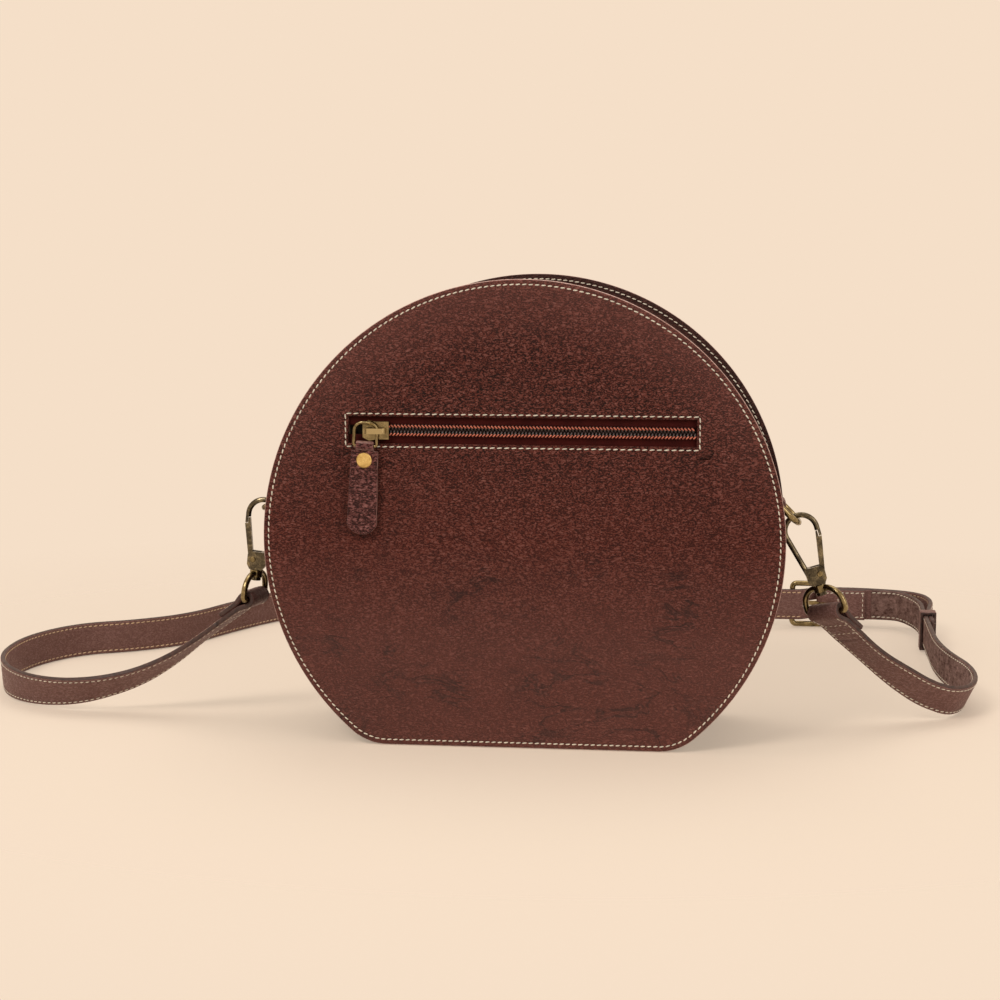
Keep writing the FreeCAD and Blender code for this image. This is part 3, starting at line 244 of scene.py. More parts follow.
class Finish(Graph):
    """A material with textures in the object's coordinates: the shared frame, in metres."""

    def __init__(self, name):
        super().__init__(bpy.data.materials.new(name))
        self.shader = self.tree.nodes["Principled BSDF"]
        self.place = self.node("ShaderNodeTexCoord").outputs["Object"]

    def stretched(self, scale, rotation=(0, 0, 0)):
        return self.node("ShaderNodeMapping", Vector=self.place, Scale=scale, Rotation=rotation).outputs[0]

    def measure(self, kind, other):
        return self.node("ShaderNodeVectorMath", {"operation": kind}, _0=self.place, _1=other).outputs["Value"]

    def noise(self, scale, detail=3.0, rough=0.55, place=None, distort=0.0):
        made = self.node("ShaderNodeTexNoise", Vector=place or self.place, Scale=scale, Detail=detail,
                         Roughness=rough, Distortion=distort)
        return made.outputs["Fac"]

    def ridge(self, place, detail, rough, distort):
        """Noise folded at its middle, so that it falls to nothing along winding lines."""
        return self.math("ABSOLUTE", self.math("SUBTRACT", self.noise(1.0, detail, rough, place, distort), 0.5))

    def wave(self, direction, scale, distort, detail=2.0):
        made = self.node("ShaderNodeTexWave", {"bands_direction": direction}, Vector=self.place, Scale=scale,
                         Distortion=distort, Detail=detail)
        return made.outputs["Fac"]

    def bump(self, height, strength, distance, below=None):
        more = {"Normal": below} if below else {}
        made = self.node("ShaderNodeBump", Strength=strength, Distance=distance, Height=height, **more)
        return made.outputs["Normal"]

    def done(self, colour, normal, rough, **values):
        """Join up the shader, set its plain values and give back the material."""
        values.update({"Base Color": colour, "Roughness": rough})
        if normal:
            values["Normal"] = normal
        for name, value in values.items():
            self.fill(self.shader.inputs[name.replace("_", " ")], value)
        return self.owner


def bag_crease_shade_and_sheen(g, height, colour, normal, light):
    """Creases low on the bag with painted shade along them, a painted sheen on the upper rim and a greyer painted sheen
    near the base.
    """
    ridge = g.ridge(g.stretched((22.0, 22.0, 62.0), (0, 0.22, 0)), 4.0, 0.6, 1.3)
    low = g.ramp(height, (0.38, 1.0), (0.6, 0.25))
    where = g.math("MULTIPLY", g.ramp(g.noise(24.0, 2.0), (0.47, 0.0), (0.6, 1.0)), low)
    # Painted shade along the creases: the colour is darkened on the fold lines low on the bag, which also get a bump.
    lift = g.mix(where, (1.0, 1.0, 1.0), g.ramp(ridge, (0.0, 0.0), (0.03, 1.0)))
    colour = g.mix(0.7, colour, lift, "MULTIPLY")
    # Painted sheen: the hide is lightened towards the upper rim, where its curve would catch the lamps.
    rim = g.ramp(g.math("MULTIPLY", g.measure("DISTANCE", MIDDLE), 5.0), (0.5, 0.0), (0.64, 0.3))
    colour = g.mix(g.math("MULTIPLY", rim, g.ramp(height, (0.55, 0.0), (0.95, 1.0))), colour, light)
    # Painted sheen near the base: a lighter, greyer tone low on the bag.
    painted_base_sheen = (light[0] * 0.9, light[1] * 1.3, light[2] * 1.37)
    colour = g.mix(g.ramp(height, (0.25, 0.2), (0.5, 0.0)), colour, painted_base_sheen)
    return colour, g.bump(lift, 0.5, 0.0006, normal)


def leather(name, dark, middle, light, scale=700.0, bump=0.9, rough=0.42, depth=1.0, gloss=0.2, bag=False):
    """Grained hide: fine crinkles with painted shade in the hollows and painted highlights on top, which fade low on
    the bag.
    """
    g = Finish(name)
    grain = g.math("MULTIPLY", g.noise(scale * 2.2, 2.0, 0.6), 0.3)
    for size, share in ((scale, 0.4), (scale * 1.7, 0.3)):
        line = g.ridge(g.stretched((size * 0.65, size, size * 1.3), (0, 0.3, 0)), 2.0, 0.5, 0.5)
        term = g.math("MULTIPLY", g.math("MULTIPLY", line, 6.0, clamp=True), share)
        grain = g.math("ADD", grain, term)
    patch = g.noise(110.0, 3.0, 0.6)
    tone = g.shares(g.noise(15.0, 4.0, 0.6, distort=0.4), 0.65, patch, 0.35)
    shade = tuple(0.7 * a + 0.3 * b for a, b in zip(middle, dark))
    glow = tuple(0.85 * a + 0.15 * b for a, b in zip(middle, light))
    colour = g.ramp(tone, (0.34, shade), (0.5, middle), (0.68, glow))
    amount = 0.9 * depth
    if bag:
        height = g.math("MULTIPLY", g.node("ShaderNodeSeparateXYZ", _0=g.place).outputs["Z"], 5.0)
        amount = g.ramp(height, (0.2, 0.5), (0.75, 0.95))
    # The grain's dark is painted shade in the hollows and its light is painted highlight on the tops, as a lamp from
    # above would light the relief.
    colour = g.mix(amount, colour, g.ramp(grain, (0.31, dark), (0.48, middle), (0.8, light)))
    normal = g.bump(grain, bump, 0.0016)
    if bag:
        colour, normal = bag_crease_shade_and_sheen(g, height, colour, normal, light)
    shine = g.ramp(g.shares(grain, 0.6, patch, 0.4), (0.4, rough + 0.2), (0.7, rough - 0.06))
    return g.done(colour, normal, shine, Specular_IOR_Level=gloss)


def suede(name, dark, light):
    """The fleshy inner face of the strap: matt, with fibres that run along it."""
    g = Finish(name)
    fibres = g.noise(1.0, 4.0, 0.7, g.stretched((700.0, 160.0, 700.0)), 0.8)
    tone = g.shares(fibres, 0.5, g.noise(260.0, 4.0, 0.65), 0.5)
    colour = g.ramp(tone, (0.36, dark), (0.66, light))
    shine = g.ramp(tone, (0.3, 0.95), (0.7, 0.75))
    return g.done(colour, g.bump(tone, 0.9, 0.0005), shine, Specular_IOR_Level=0.15)


def edge_paint(name, dark, light, rough=0.55):
    """The cut edge of the hide: painted, and rubbed paler in places."""
    g = Finish(name)
    colour = g.ramp(g.noise(420.0, 4.0, 0.65), (0.35, dark), (0.7, light))
    shine = g.ramp(g.noise(300.0), (0.3, rough - 0.1), (0.7, rough + 0.1))
    return g.done(colour, g.bump(g.noise(1500.0, 3.0), 0.4, 0.0002), shine)


def thread(name, shade, light):
    """Twisted thread, a little soiled in places."""
    g = Finish(name)
    twist = g.wave("DIAGONAL", 900.0, 0.8)
    colour = g.mix(g.ramp(twist, (0.25, 0.0), (0.75, 1.0)), shade, light)
    soil = g.ramp(g.noise(130.0, 3.0), (0.33, 0.78), (0.55, 1.0))
    shine = g.ramp(twist, (0.0, 0.8), (1.0, 0.62))
    return g.done(g.mix(0.8, colour, soil, "MULTIPLY"), g.bump(twist, 0.6, 0.00015), shine)


def woven(name, dark, light, scale, bump=0.6):
    """Cloth of crossing ribs."""
    g = Finish(name)
    weave = g.math("MULTIPLY", g.wave("X", scale, 0.6, 1.0), g.wave("Z", scale, 0.6, 1.0))
    tone = g.shares(weave, 0.6, g.noise(160.0, 3.0), 0.4)
    colour = g.ramp(tone, (0.15, dark), (0.6, light))
    shine = g.ramp(tone, (0.2, 0.9), (0.7, 0.7))
    return g.done(colour, g.bump(weave, bump, 0.0002), shine, Specular_IOR_Level=0.15)


def metal(name, tarnish, body, worn, low, high, scale=240.0, rise=None):
    """Plated brass with tarnish in patches, fine scratches and rubbed spots.

    A rise is a direction and two heights along it, between which the brass gets rubbed bright and takes a painted
    highlight.
    """
    g = Finish(name)
    patch = g.noise(scale, 4.0, 0.65, distort=0.5)
    tone = g.shares(patch, 0.7, g.noise(scale * 6, 3.0, 0.6), 0.3)
    colour = g.ramp(tone, (0.34, tarnish), (0.5, body), (0.66, worn))
    scratches = g.noise(1.0, 2.0, 0.6, g.stretched((2600.0, 2600.0, 420.0), (0.4, 0.3, 0.2)))
    normal = g.bump(scratches, 0.12, 0.0001)
    if rise:
        way, start, end = rise
        # Rubbed brass and painted highlight: the part high along the rise is brightened towards the worn colour.
        rubbed = g.node("ShaderNodeMapRange", _0=g.measure("DOT_PRODUCT", way), _1=start, _2=end).outputs[0]
        colour = g.mix(g.math("MULTIPLY", rubbed, 0.85), colour, tuple(1.2 * c for c in worn))
        normal = g.bump(patch, 0.5, 0.0007, normal)
    shine = g.ramp(tone, (0.34, high), (0.66, low))
    return g.done(colour, normal, shine, Metallic=1.0)


def nylon(name, dark, light):
    """The smooth coils and sewing of the chains."""
    g = Finish(name)
    colour = g.ramp(g.noise(900.0, 3.0, 0.6), (0.3, dark), (0.68, light))
    shine = g.ramp(g.noise(500.0), (0.3, 0.3), (0.7, 0.44))
    return g.done(colour, g.bump(g.noise(4000.0, 2.0), 0.2, 0.0001), shine)


# In each hide made by leather() below, dark is painted shade in the grain's hollows and light is painted highlight on
# its tops. HIDE's light is also the painted sheen near the upper rim and the base.
PAINTED_HOLLOW_SHADE = (0.003, 0.0005, 0.0003)
HIDE = leather("hide", PAINTED_HOLLOW_SHADE, (0.17, 0.0335, 0.0198), (0.3, 0.112, 0.086), bag=True)
# A much darker copy of the hide for the gusset and zip strips: painted shade for the recess between the panels' rims.
HIDE_SIDE_SHADED = leather("hide_side", PAINTED_HOLLOW_SHADE, (0.046, 0.0095, 0.006), (0.12, 0.046, 0.035), bag=True)
# The strap leather, lighter and greyer than the bag's hide: partly its own tone and partly painted sheen on its faces.
HIDE_STRAP_SHEEN = leather("hide_strap", (0.085, 0.034, 0.027), (0.215, 0.104, 0.084), (0.32, 0.18, 0.152),
                     scale=620.0, bump=0.4, rough=0.4, depth=0.5)
HIDE_TAB = leather("hide_tab", (0.007, 0.0012, 0.0009), (0.19, 0.052, 0.043), (0.45, 0.19, 0.163),
                   scale=530.0, bump=1.2, rough=0.34, depth=0.95, gloss=0.22)
SUEDE = suede("strap_suede", (0.055, 0.023, 0.017), (0.33, 0.195, 0.16))
EDGE = edge_paint("strap_edge", (0.022, 0.009, 0.007), (0.085, 0.036, 0.027))
# The panels' cut edge at the rim is made pale pink and glossy: a painted highlight along the lit edge.
RIM_EDGE_HIGHLIGHT = edge_paint("rim_edge", (0.34, 0.16, 0.12), (0.74, 0.48, 0.39), 0.38)
TAB_EDGE = edge_paint("tab_edge", (0.13, 0.048, 0.037), (0.36, 0.19, 0.155), 0.4)
THREAD = thread("cream_thread", (0.72, 0.58, 0.41), (0.95, 0.86, 0.7))
GOLD_THREAD = thread("gold_thread", (0.58, 0.35, 0.18), (0.9, 0.65, 0.41))
TAPE = woven("zip_tape_weave", (0.02, 0.0018, 0.001), (0.095, 0.0085, 0.005), 900.0)
LINING = woven("lining_cloth", (0.1, 0.07, 0.045), (0.23, 0.165, 0.11), 700.0)
BOARD = woven("stiffening_board", (0.05, 0.04, 0.032), (0.09, 0.072, 0.06), 500.0, 0.2)
COIL = nylon("coil_nylon", (0.012, 0.007, 0.0065), (0.075, 0.045, 0.04))
COIL_THREAD = nylon("coil_sewing", (0.24, 0.043, 0.024), (0.8, 0.215, 0.115))
ANTIQUE_TONES = (0.1, 0.074, 0.036), (0.23, 0.175, 0.085), (0.42, 0.33, 0.17), 0.14, 0.28
ANTIQUE = metal("antique_brass", *ANTIQUE_TONES)
DARK_BRASS = metal("dark_brass", (0.04, 0.033, 0.023), (0.11, 0.09, 0.058), (0.32, 0.26, 0.155), 0.15, 0.32)
POLISHED = metal("polished_brass", (0.42, 0.27, 0.09), (0.72, 0.5, 0.18), (0.9, 0.68, 0.3), 0.2, 0.34, 160.0)
STEEL = metal("spring_steel", (0.25, 0.25, 0.25), (0.45, 0.45, 0.45), (0.6, 0.6, 0.6), 0.25, 0.45)


def paint(names, material, bevel=None):
    """Give CAD nodes a finish, with softened edges where bevel is a width."""
    for name in names:
        dress(nodes[name].data, material)
        if bevel:
            modify(nodes[name], "BEVEL", width=bevel, segments=3, limit_method="ANGLE", angle_limit=radians(40))


# Outline of the bag

CORNER_OUT = sqrt((RADIUS - CORNER) ** 2 - (CENTRE - CORNER) ** 2)
TURN = atan2(CORNER_OUT, CORNER - CENTRE)
WINDOW_TOP = atan2(WINDOW_HALF, ZIP_LINE + WINDOW_RISE - CENTRE)
WINDOW_LOW = atan2(WINDOW_HALF, ZIP_LINE - WINDOW_RISE - CENTRE)
CORNER_STEPS = 12
BASE_STEPS = 20
ARCS = {"round": (0.0, CENTRE, RADIUS), "corner": (CORNER_OUT, CORNER, CORNER)}


def outline_point(station, inset):
    """A point of the outline drawn in by inset. A station is a side, a kind and a place on it."""
    side, kind, at = station
    if kind == "base":
        return side * at, inset
    out, height, radius = ARCS[kind]
    return side * (out + (radius - inset) * sin(at)), height + (radius - inset) * cos(at)


def round_stations(side, start, end, steps):
    return [(side, "round", at) for at in spread(start, end, steps)[:-1]]


def half_stations(side, start, steps):
    """Stations from an angle near the top down one side to the middle of the base."""
    found = round_stations(side, start, TURN, steps)
    found += [(side, "corner", at) for at in spread(TURN, pi, CORNER_STEPS)[:-1]]
    return found + [(side, "base", at) for at in spread(CORNER_OUT, 0.0, BASE_STEPS)[:-1]]


def loop_stations():
    """Stations round the outline, with one in line with each corner of the pocket window."""
    right, left = (
        round_stations(side, 0.0, WINDOW_TOP, 36) + round_stations(side, WINDOW_TOP, WINDOW_LOW, 6)
        + half_stations(side, WINDOW_LOW, 50)
        for side in (1, -1)
    )
    return right + [(1, "base", 0.0)] + left[:0:-1]


def top_stations(half, steps):
    """Stations over the top, to an angle on either side."""
    return round_stations(1, -half, half, steps) + [(1, "round", half)]


def wobble(x, z, size, seed):
    return noise.noise(Vector((x / size, z / size, seed)))


def crown(x, z):
    """How far a panel swells: nothing at the seam, a little in the middle."""
    reach = min(1.0, hypot(x, z - CENTRE) / (RADIUS - 8 * MM))
    return (1 - reach**2.4) * smooth_step((z - 6 * MM) / (30 * MM))


def groove(distance, middle, width, depth):
    return -depth * exp(-(((distance - middle) / width) ** 2))


def pocket_swell(x, z):
    """How far the pocket face stands out: fuller low down, with a few soft folds."""
    full = crown(x, z)
    belly = 2.2 * MM * exp(-((x / 0.07) ** 2) - ((z - 0.058) / 0.034) ** 2) * min(1.0, 2 * full)
    low = max(0.0, min(1.0, (0.09 - z) / 0.03)) * min(1.0, 3 * full)
    folds = 0.3 * MM * low * wobble(x * 0.35 + z * 0.3, z * 1.6, 0.016, 5.2)
    return 0.45 * MM * full + 0.22 * MM * wobble(x, z, 0.04, 3.1) * full**0.3 + belly + folds


def plain_swell(x, z):
    return 1.5 * MM * crown(x, z) + 0.35 * MM * wobble(x, z, 0.045, 1) * crown(x, z) ** 0.3


# Rows of the faces in millimetres: rim insets, inset and depth share on the cut edge, growth and height at the window
RIM_INSETS = [10.0, 8.0, 6.2, 5.0, 4.2, 3.6, 3.1, 2.8, 2.5, 2.2, 1.9, 1.5, 1.0, 0.55, 0.25]
CUT_EDGE = (0.0, 0.35), (0.0, 0.75), (0.15, 0.92)
WINDOW_EDGE = ((0.0, -1.5), (0.1, -0.7), (0.45, -0.12), (0.9, 0.05), (1.25, -0.08), (1.55, -0.3), (1.85, -0.08),
               (2.4, 0.06), (3.6, 0.0), (6.0, 0.0))
STITCH_INSET = 2.5
STITCH_DIP = 0.32 * MM
MIDDLE_SHARE = 0.04


def window_point(station, grow):
    """The point of the pocket window, grown by millimetres, in line with a station."""
    x, z = outline_point(station, 0.0)
    angle = abs(atan2(x, z - CENTRE))
    side = 1 if x >= 0 else -1
    half, rise = WINDOW_HALF + grow * MM, WINDOW_RISE + grow * MM
    if angle <= WINDOW_TOP:
        return side * half * angle / WINDOW_TOP, ZIP_LINE + rise
    if angle <= WINDOW_LOW:
        share = (angle - WINDOW_TOP) / (WINDOW_LOW - WINDOW_TOP)
        return side * half, ZIP_LINE + rise * (1 - 2 * share)
    return side * half * (pi - angle) / (pi - WINDOW_LOW), ZIP_LINE - rise


def make_panel(name, node, sign):
    """A round face. sign is -1 for the pocket side and +1 for the plain side."""
    window = sign < 0
    stations = loop_stations()
    outer_y = sign * HALF_DEPTH
    inner_y = sign * (HALF_DEPTH - PANEL)
    swell = pocket_swell if window else plain_swell
    rows = []

    def outline(inset):
        return [outline_point(s, inset * MM) for s in stations]

    def opening(grow):
        return [window_point(s, grow) for s in stations]

    def add_row(points, height=0.0):
        rows.append([(x, outer_y + sign * (swell(x, z) + height), z) for x, z in points])

    def add_flat_row(points, y):
        rows.append([(x, y, z) for x, z in points])

    if window:
        add_flat_row(opening(0.2), inner_y)
        for grow, height in WINDOW_EDGE:
            add_row(opening(grow), height * MM)
        inner_loop = opening(WINDOW_EDGE[-1][0])
        steps = 40
    else:
        inner_loop = [(x * MIDDLE_SHARE, CENTRE + (z - CENTRE) * MIDDLE_SHARE) for x, z in outline(0.0)]
        add_row(inner_loop)
        steps = 26
    rim = outline(RIM_INSETS[0])
    for step in range(1, steps):
        share = step / steps
        add_row([(a[0] + (b[0] - a[0]) * share, a[1] + (b[1] - a[1]) * share) for a, b in zip(inner_loop, rim)])
    for inset in RIM_INSETS:
        edge = -0.5 * MM * max(0.0, 1 - inset / 1.2) ** 2
        add_row(outline(inset), groove(inset, STITCH_INSET, 0.5, STITCH_DIP) + edge)
    rim_end = len(rows)
    for inset, depth in CUT_EDGE:
        add_flat_row(outline(inset), outer_y - sign * PANEL * depth)
    add_flat_row(outline(0.5), inner_y)
    if window:
        add_flat_row(opening(4.0), inner_y)
    obj = loft(name, rows, HIDE, RIM_EDGE_HIGHLIGHT, closed=window)
    count = len(stations)
    for polygon in obj.data.polygons[(rim_end - 1) * count:(rim_end + 2) * count]:
        polygon.material_index = 1
    stand_in(node)


def sweep(name, stations, profile, material, sag=None):
    """A strip of a given section (y and inset, in metres) along outline stations."""
    rings = []
    for station in stations:
        points = [outline_point(station, inset + (sag(station, y) if sag else 0.0)) for y, inset in profile]
        rings.append([(x, y, z) for (x, z), (y, inset) in zip(points, profile)])
    return loft(name, rings, material)


def bend(centre, radius, start, end, steps):
    """Points of a small arc in a strip's section."""
    angles = spread(radians(start), radians(end), steps)
    return [(centre[0] + radius * cos(a), centre[1] + radius * sin(a)) for a in angles]


def flange_section(sign):
    """Half a gusset section, from the wall out to the flange and back: outside, lip, inside."""
    inner = HALF_DEPTH - PANEL
    big, small = 2.2 * MM, 0.7 * MM
    outside = bend((inner - WALL - big, SEAM - big), big, 90, 0, 5)
    lip = [(inner - WALL, 0.5 * MM), (inner - WALL + 0.25 * MM, 0.1 * MM), (inner - 0.45 * MM, 0.05 * MM),
           (inner - 0.05 * MM, 0.4 * MM)]
    inside = bend((inner - small - 0.05 * MM, SEAM + WALL - small), small, 0, 90, 3)
    return [[(sign * y, inset) for y, inset in part] for part in (outside, lip, inside)]


def wall_points(start, end, inset, steps):
    return [(y, inset) for y in spread(start, end, steps)[1:-1]]


def gusset_sag(station, y):
    """How far the wall bows in between its flanges: less at the base and by the side tabs."""
    side, kind, at = station
    reach = max(0.0, 1 - (abs(y) / (32 * MM)) ** 2)
    ripple = 0.6 + 0.4 * noise.noise(Vector((side * 3.0, at * 2.6, 1.7)))
    amount = {"round": 1.0, "corner": 0.6, "base": 0.35}[kind]
    if kind == "round":
        amount *= max(0.0, min(1.0, (at - ZIP_ANGLE) / 0.35))
        if abs(at - radians(94)) < radians(14):
            amount *= 0.25
    return 0.9 * MM * reach * ripple * amount


def make_gusset():
    front_out, front_lip, front_in = flange_section(-1)
    rear_out, rear_lip, rear_in = flange_section(1)
    outer_wall = wall_points(rear_out[0][0], front_out[0][0], SEAM, 12)
    inner_wall = wall_points(front_in[-1][0], rear_in[-1][0], SEAM + WALL, 12)
    profile = outer_wall + front_out + front_lip + front_in + inner_wall
    profile += rear_in[::-1] + rear_lip[::-1] + rear_out[::-1]
    stations = half_stations(1, ZIP_ANGLE, 52) + [(1, "base", 0.0)] + half_stations(-1, ZIP_ANGLE, 52)[::-1]
    obj = sweep("gusset", stations, profile, HIDE_SIDE_SHADED, sag=gusset_sag)
    stand_in("gusset_wall")


def make_strip(name, sign):
    """A zip strip with its edge turned under along the mouth."""
    outside, lip, inside = flange_section(sign)
    roll = [(0.5, -0.2), (0.1, 0.25), (0.0, 0.75), (0.2, 1.3)]
    roll = [(sign * (MOUTH + y * MM), SEAM + inset * MM) for y, inset in roll]
    outer_wall = wall_points(outside[0][0], sign * (MOUTH + 0.9 * MM), SEAM, 9)
    outer_wall += [(sign * (MOUTH + d * MM), SEAM) for d in (3.0, 2.6, 2.2, 1.8, 1.4, 1.0)]
    outer_wall.sort(key=lambda p: -abs(p[0]))
    stitched = [(y, inset - groove((abs(y) - MOUTH) / MM, MOUTH_STITCH, 0.5, MOUTH_DIP)) for y, inset in outer_wall]
    inner_wall = wall_points(sign * (MOUTH + 0.6 * MM), inside[-1][0], SEAM + WALL, 8)
    profile = outside[::-1] + stitched + roll + inner_wall + inside[::-1] + lip[::-1]
    obj = sweep(name, top_stations(ZIP_ANGLE - 0.0012, 96), profile, HIDE_SIDE_SHADED)
    stand_in("zip_" + name)


# Stitching

STITCH_SIDES = 6
STITCH_RINGS = ((-1.0, 0.25), (-0.72, 0.86), (0.0, 1.0), (0.72, 0.86), (1.0, 0.25))
BAG_PITCH = 3.0 * MM
BAG_STITCH = 2.25 * MM
WINDOW_PITCH = 3.45 * MM
STRAP_PITCH = 3.1 * MM
MOUTH_STITCH = 2.2
MOUTH_DIP = 0.28 * MM
WINDOW_STITCH = 1.55 * MM


def resample(points, pitch, closed):
    """Places every pitch along a line, each with its direction and the normal there."""
    track = points + points[:1] if closed else points
    lengths = travelled(track)
    count = max(1, round(lengths[-1] / pitch))
    step = lengths[-1] / count
    for number in range(count):
        goal = (number + 0.5) * step
        after = bisect_left(lengths, goal)
        a, b = track[after - 1:after + 1]
        share = (goal - lengths[after - 1]) / max(1e-9, lengths[after] - lengths[after - 1])
        yield a[0].lerp(b[0], share), (b[0] - a[0]).normalized(), a[1].lerp(b[1], share).normalized()


def add_stitches(verts, faces, line, pitch, length, thick, closed=False, slant=9.0):
    for number, (point, way, normal) in enumerate(resample(line, pitch, closed)):
        lean = radians(slant + 3.0 * noise.noise(Vector((number * 0.71, 0.3, 0.9))))
        way = (way - normal * way.dot(normal)).normalized()
        along = way * cos(lean) + normal.cross(way) * sin(lean)
        across = normal.cross(along)
        faces += tube_faces(len(verts), len(STITCH_RINGS), STITCH_SIDES)
        middle = point + normal * (thick * 0.4)
        for travel, girth in STITCH_RINGS:
            arch = -abs(travel) ** 2 * thick * 0.45
            centre = middle + along * (travel * length / 2) + normal * arch
            verts += ring_of(centre, across * (thick * girth), normal * (thick * 0.75 * girth), STITCH_SIDES)


def make_stitches(name, lines, pitch, length, thick=0.36 * MM, material=THREAD, closed=False):
    verts, faces = [], []
    for line in lines:
        add_stitches(verts, faces, line, pitch, length, thick, closed)
    obj = new_object(name, verts, faces, material)
    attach(obj, "bag")
    return obj


def rim_line(y, facing, stations):
    points = [outline_point(s, STITCH_INSET * MM) for s in stations]
    return [(Vector((x, y, z)), Vector((0, facing, 0))) for x, z in points]


def make_bag_stitching():
    loop = loop_stations()
    for label, sign in (("front", -1), ("rear", 1)):
        line = rim_line(sign * (HALF_DEPTH - STITCH_DIP), sign, loop)
        make_stitches(f"rim_stitching_{label}", [line], BAG_PITCH, BAG_STITCH, closed=True)
    flange = HALF_DEPTH - PANEL - WALL
    lines = [rim_line(sign * flange, -sign, loop) for sign in (-1, 1)]
    make_stitches("flange_stitching", lines, BAG_PITCH, 2.2 * MM, 0.33 * MM, closed=True)
    lines = []
    for y in (-MOUTH - MOUTH_STITCH * MM, MOUTH + MOUTH_STITCH * MM):
        line = []
        for station in top_stations(ZIP_ANGLE - 0.02, 96):
            x, z = outline_point(station, SEAM + MOUTH_DIP)
            line.append((Vector((x, y, z)), Vector((sin(station[2]), 0, cos(station[2])))))
        lines.append(line)
    make_stitches("mouth_stitching", lines, BAG_PITCH, BAG_STITCH)
    half, rise = WINDOW_HALF + WINDOW_STITCH, WINDOW_RISE + WINDOW_STITCH
    normal = Vector((0, -1, 0))
    corners = [(-half, -rise), (half, -rise), (half, rise), (-half, rise)]
    lines = []
    for (ax, az), (bx, bz) in zip(corners, corners[1:] + corners[:1]):
        spots = zip(spread(ax, bx, 60), spread(ZIP_LINE + az, ZIP_LINE + bz, 60))
        lines.append([(Vector((x, -HALF_DEPTH - pocket_swell(x, z) + 0.3 * MM, z)), normal) for x, z in spots])
    make_stitches("window_stitching", lines, WINDOW_PITCH, 2.6 * MM, 0.38 * MM)


# Zips

LOOP_SECTIONS = 8
LOOP_SIDES = 6
LOOP_WIRE = 0.43 * MM
TAPE_RIBS = 9
TAPE_COLUMNS = 24
CHAIN_LEAD = 0.6 * MM


def straight_frame(x):
    """Place, chain direction, across and outward directions on the pocket chain."""
    return Vector((x, TAPE_FRONT, ZIP_LINE)), Vector((1, 0, 0)), Vector((0, 0, 1)), Vector((0, -1, 0))


def arc_frame(angle):
    """The same on the main chain, at an angle from the top."""
    out = Vector((sin(angle), 0, cos(angle)))
    return MIDDLE + out * TAPE_OUTER, Vector((out.z, 0, -out.x)), Vector((0, 1, 0)), out


def coil_side(frames, side):
    """One row of loops: each rises from the sewn edge, leans along the chain and meets the other row."""
    verts, faces = [], []
    for place, along, across, out in frames:
        spine = []
        for share in spread(0.0, 1.0, LOOP_SECTIONS - 1):
            reach = (2.85 - 3.0 * share) * MM
            rise = (0.45 + 1.05 * sin(pi * min(1.0, share * 0.86 + 0.12))) * MM
            lean = 0.62 * MM * (share - 0.5)
            spine.append(place + across * (side * reach) + out * rise + along * lean)
        faces += tube_faces(len(verts), LOOP_SECTIONS, LOOP_SIDES)
        for i, point in enumerate(spine):
            ahead = heading(spine, i)
            first = (along - ahead * along.dot(ahead)).normalized()
            girth = LOOP_WIRE * (0.7 if i in (0, LOOP_SECTIONS - 1) else 1.0)
            verts += ring_of(point, first * girth, ahead.cross(first) * girth, LOOP_SIDES)
    return verts, faces


def sewing_side(frames, side):
    """The row of slanted sewing that holds the loops to the tape."""
    verts, faces = [], []
    for place, along, across, out in frames:
        line = []
        for share in (-0.5, 0.5):
            point = place + across * (side * (1.95 - share * 1.3) * MM) + out * ((1.7 + 0.3 * share) * MM)
            line.append((point + along * (share * 1.5 * MM), out))
        add_stitches(verts, faces, line, 1.0, 2.0 * MM, 0.36 * MM, slant=0.0)
    return verts, faces


def coil_rows(frame_at, starts, pitch, nodes_replaced):
    """Both rows of a chain, half a pitch apart so that the loops mesh.

    The run's pieces each get a mesh of their own.
    """
    for side, label in zip((1, -1), nodes_replaced):
        shift = 0.0 if side > 0 else pitch / 2
        for piece, places in starts.items():
            frames = [frame_at(at + shift) for at in places]
            obj = new_object(f"{label}_{piece}", *coil_side(frames, side), COIL)
            sewn = new_object(f"{label}_{piece}_sewing", *sewing_side(frames, side), COIL_THREAD)
            for thing in (obj, sewn):
                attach(thing, "bag")
                if piece == "run":
                    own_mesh(thing)
            stand_in(label)


def chain_places(start, last, end, pitch):
    """Even places along a chain: the run that opens, up to last, and the joined end."""
    count = round((last - start) / pitch)
    step = (last - start) / count
    return {"run": spread(start, last, count), "end": [last + step * i for i in range(1, int((end - last) / step) + 1)]}


def make_pocket_tape(label, side):
    """A ribbed strip above or below the pocket chain."""
    heights = spread(*sorted((ZIP_LINE + side * TAPE_NEAR, ZIP_LINE + side * TAPE_FAR)), TAPE_RIBS)
    profile = [(TAPE_FRONT + 0.08 * MM * (1 if r % 2 else -1), z) for r, z in enumerate(heights)]
    profile += [(TAPE_BACK, z) for z in reversed(heights)]
    columns = spread(-TAPE_HALF, TAPE_HALF, TAPE_COLUMNS)
    obj = loft(f"pocket_tape_{label}", [[(x, y, z) for y, z in profile] for x in columns], TAPE)
    stand_in(f"pocket_zip_tape_{label}")


def make_pocket_zip():
    places = chain_places(-69.3 * MM - CHAIN_LEAD, 67.5 * MM, 81.6 * MM, CHAIN_PITCH)
    coil_rows(straight_frame, places, CHAIN_PITCH,
              ("pocket_zip_coil_upper", "pocket_zip_coil_lower"))
    make_pocket_tape("upper", 1)
    make_pocket_tape("lower", -1)


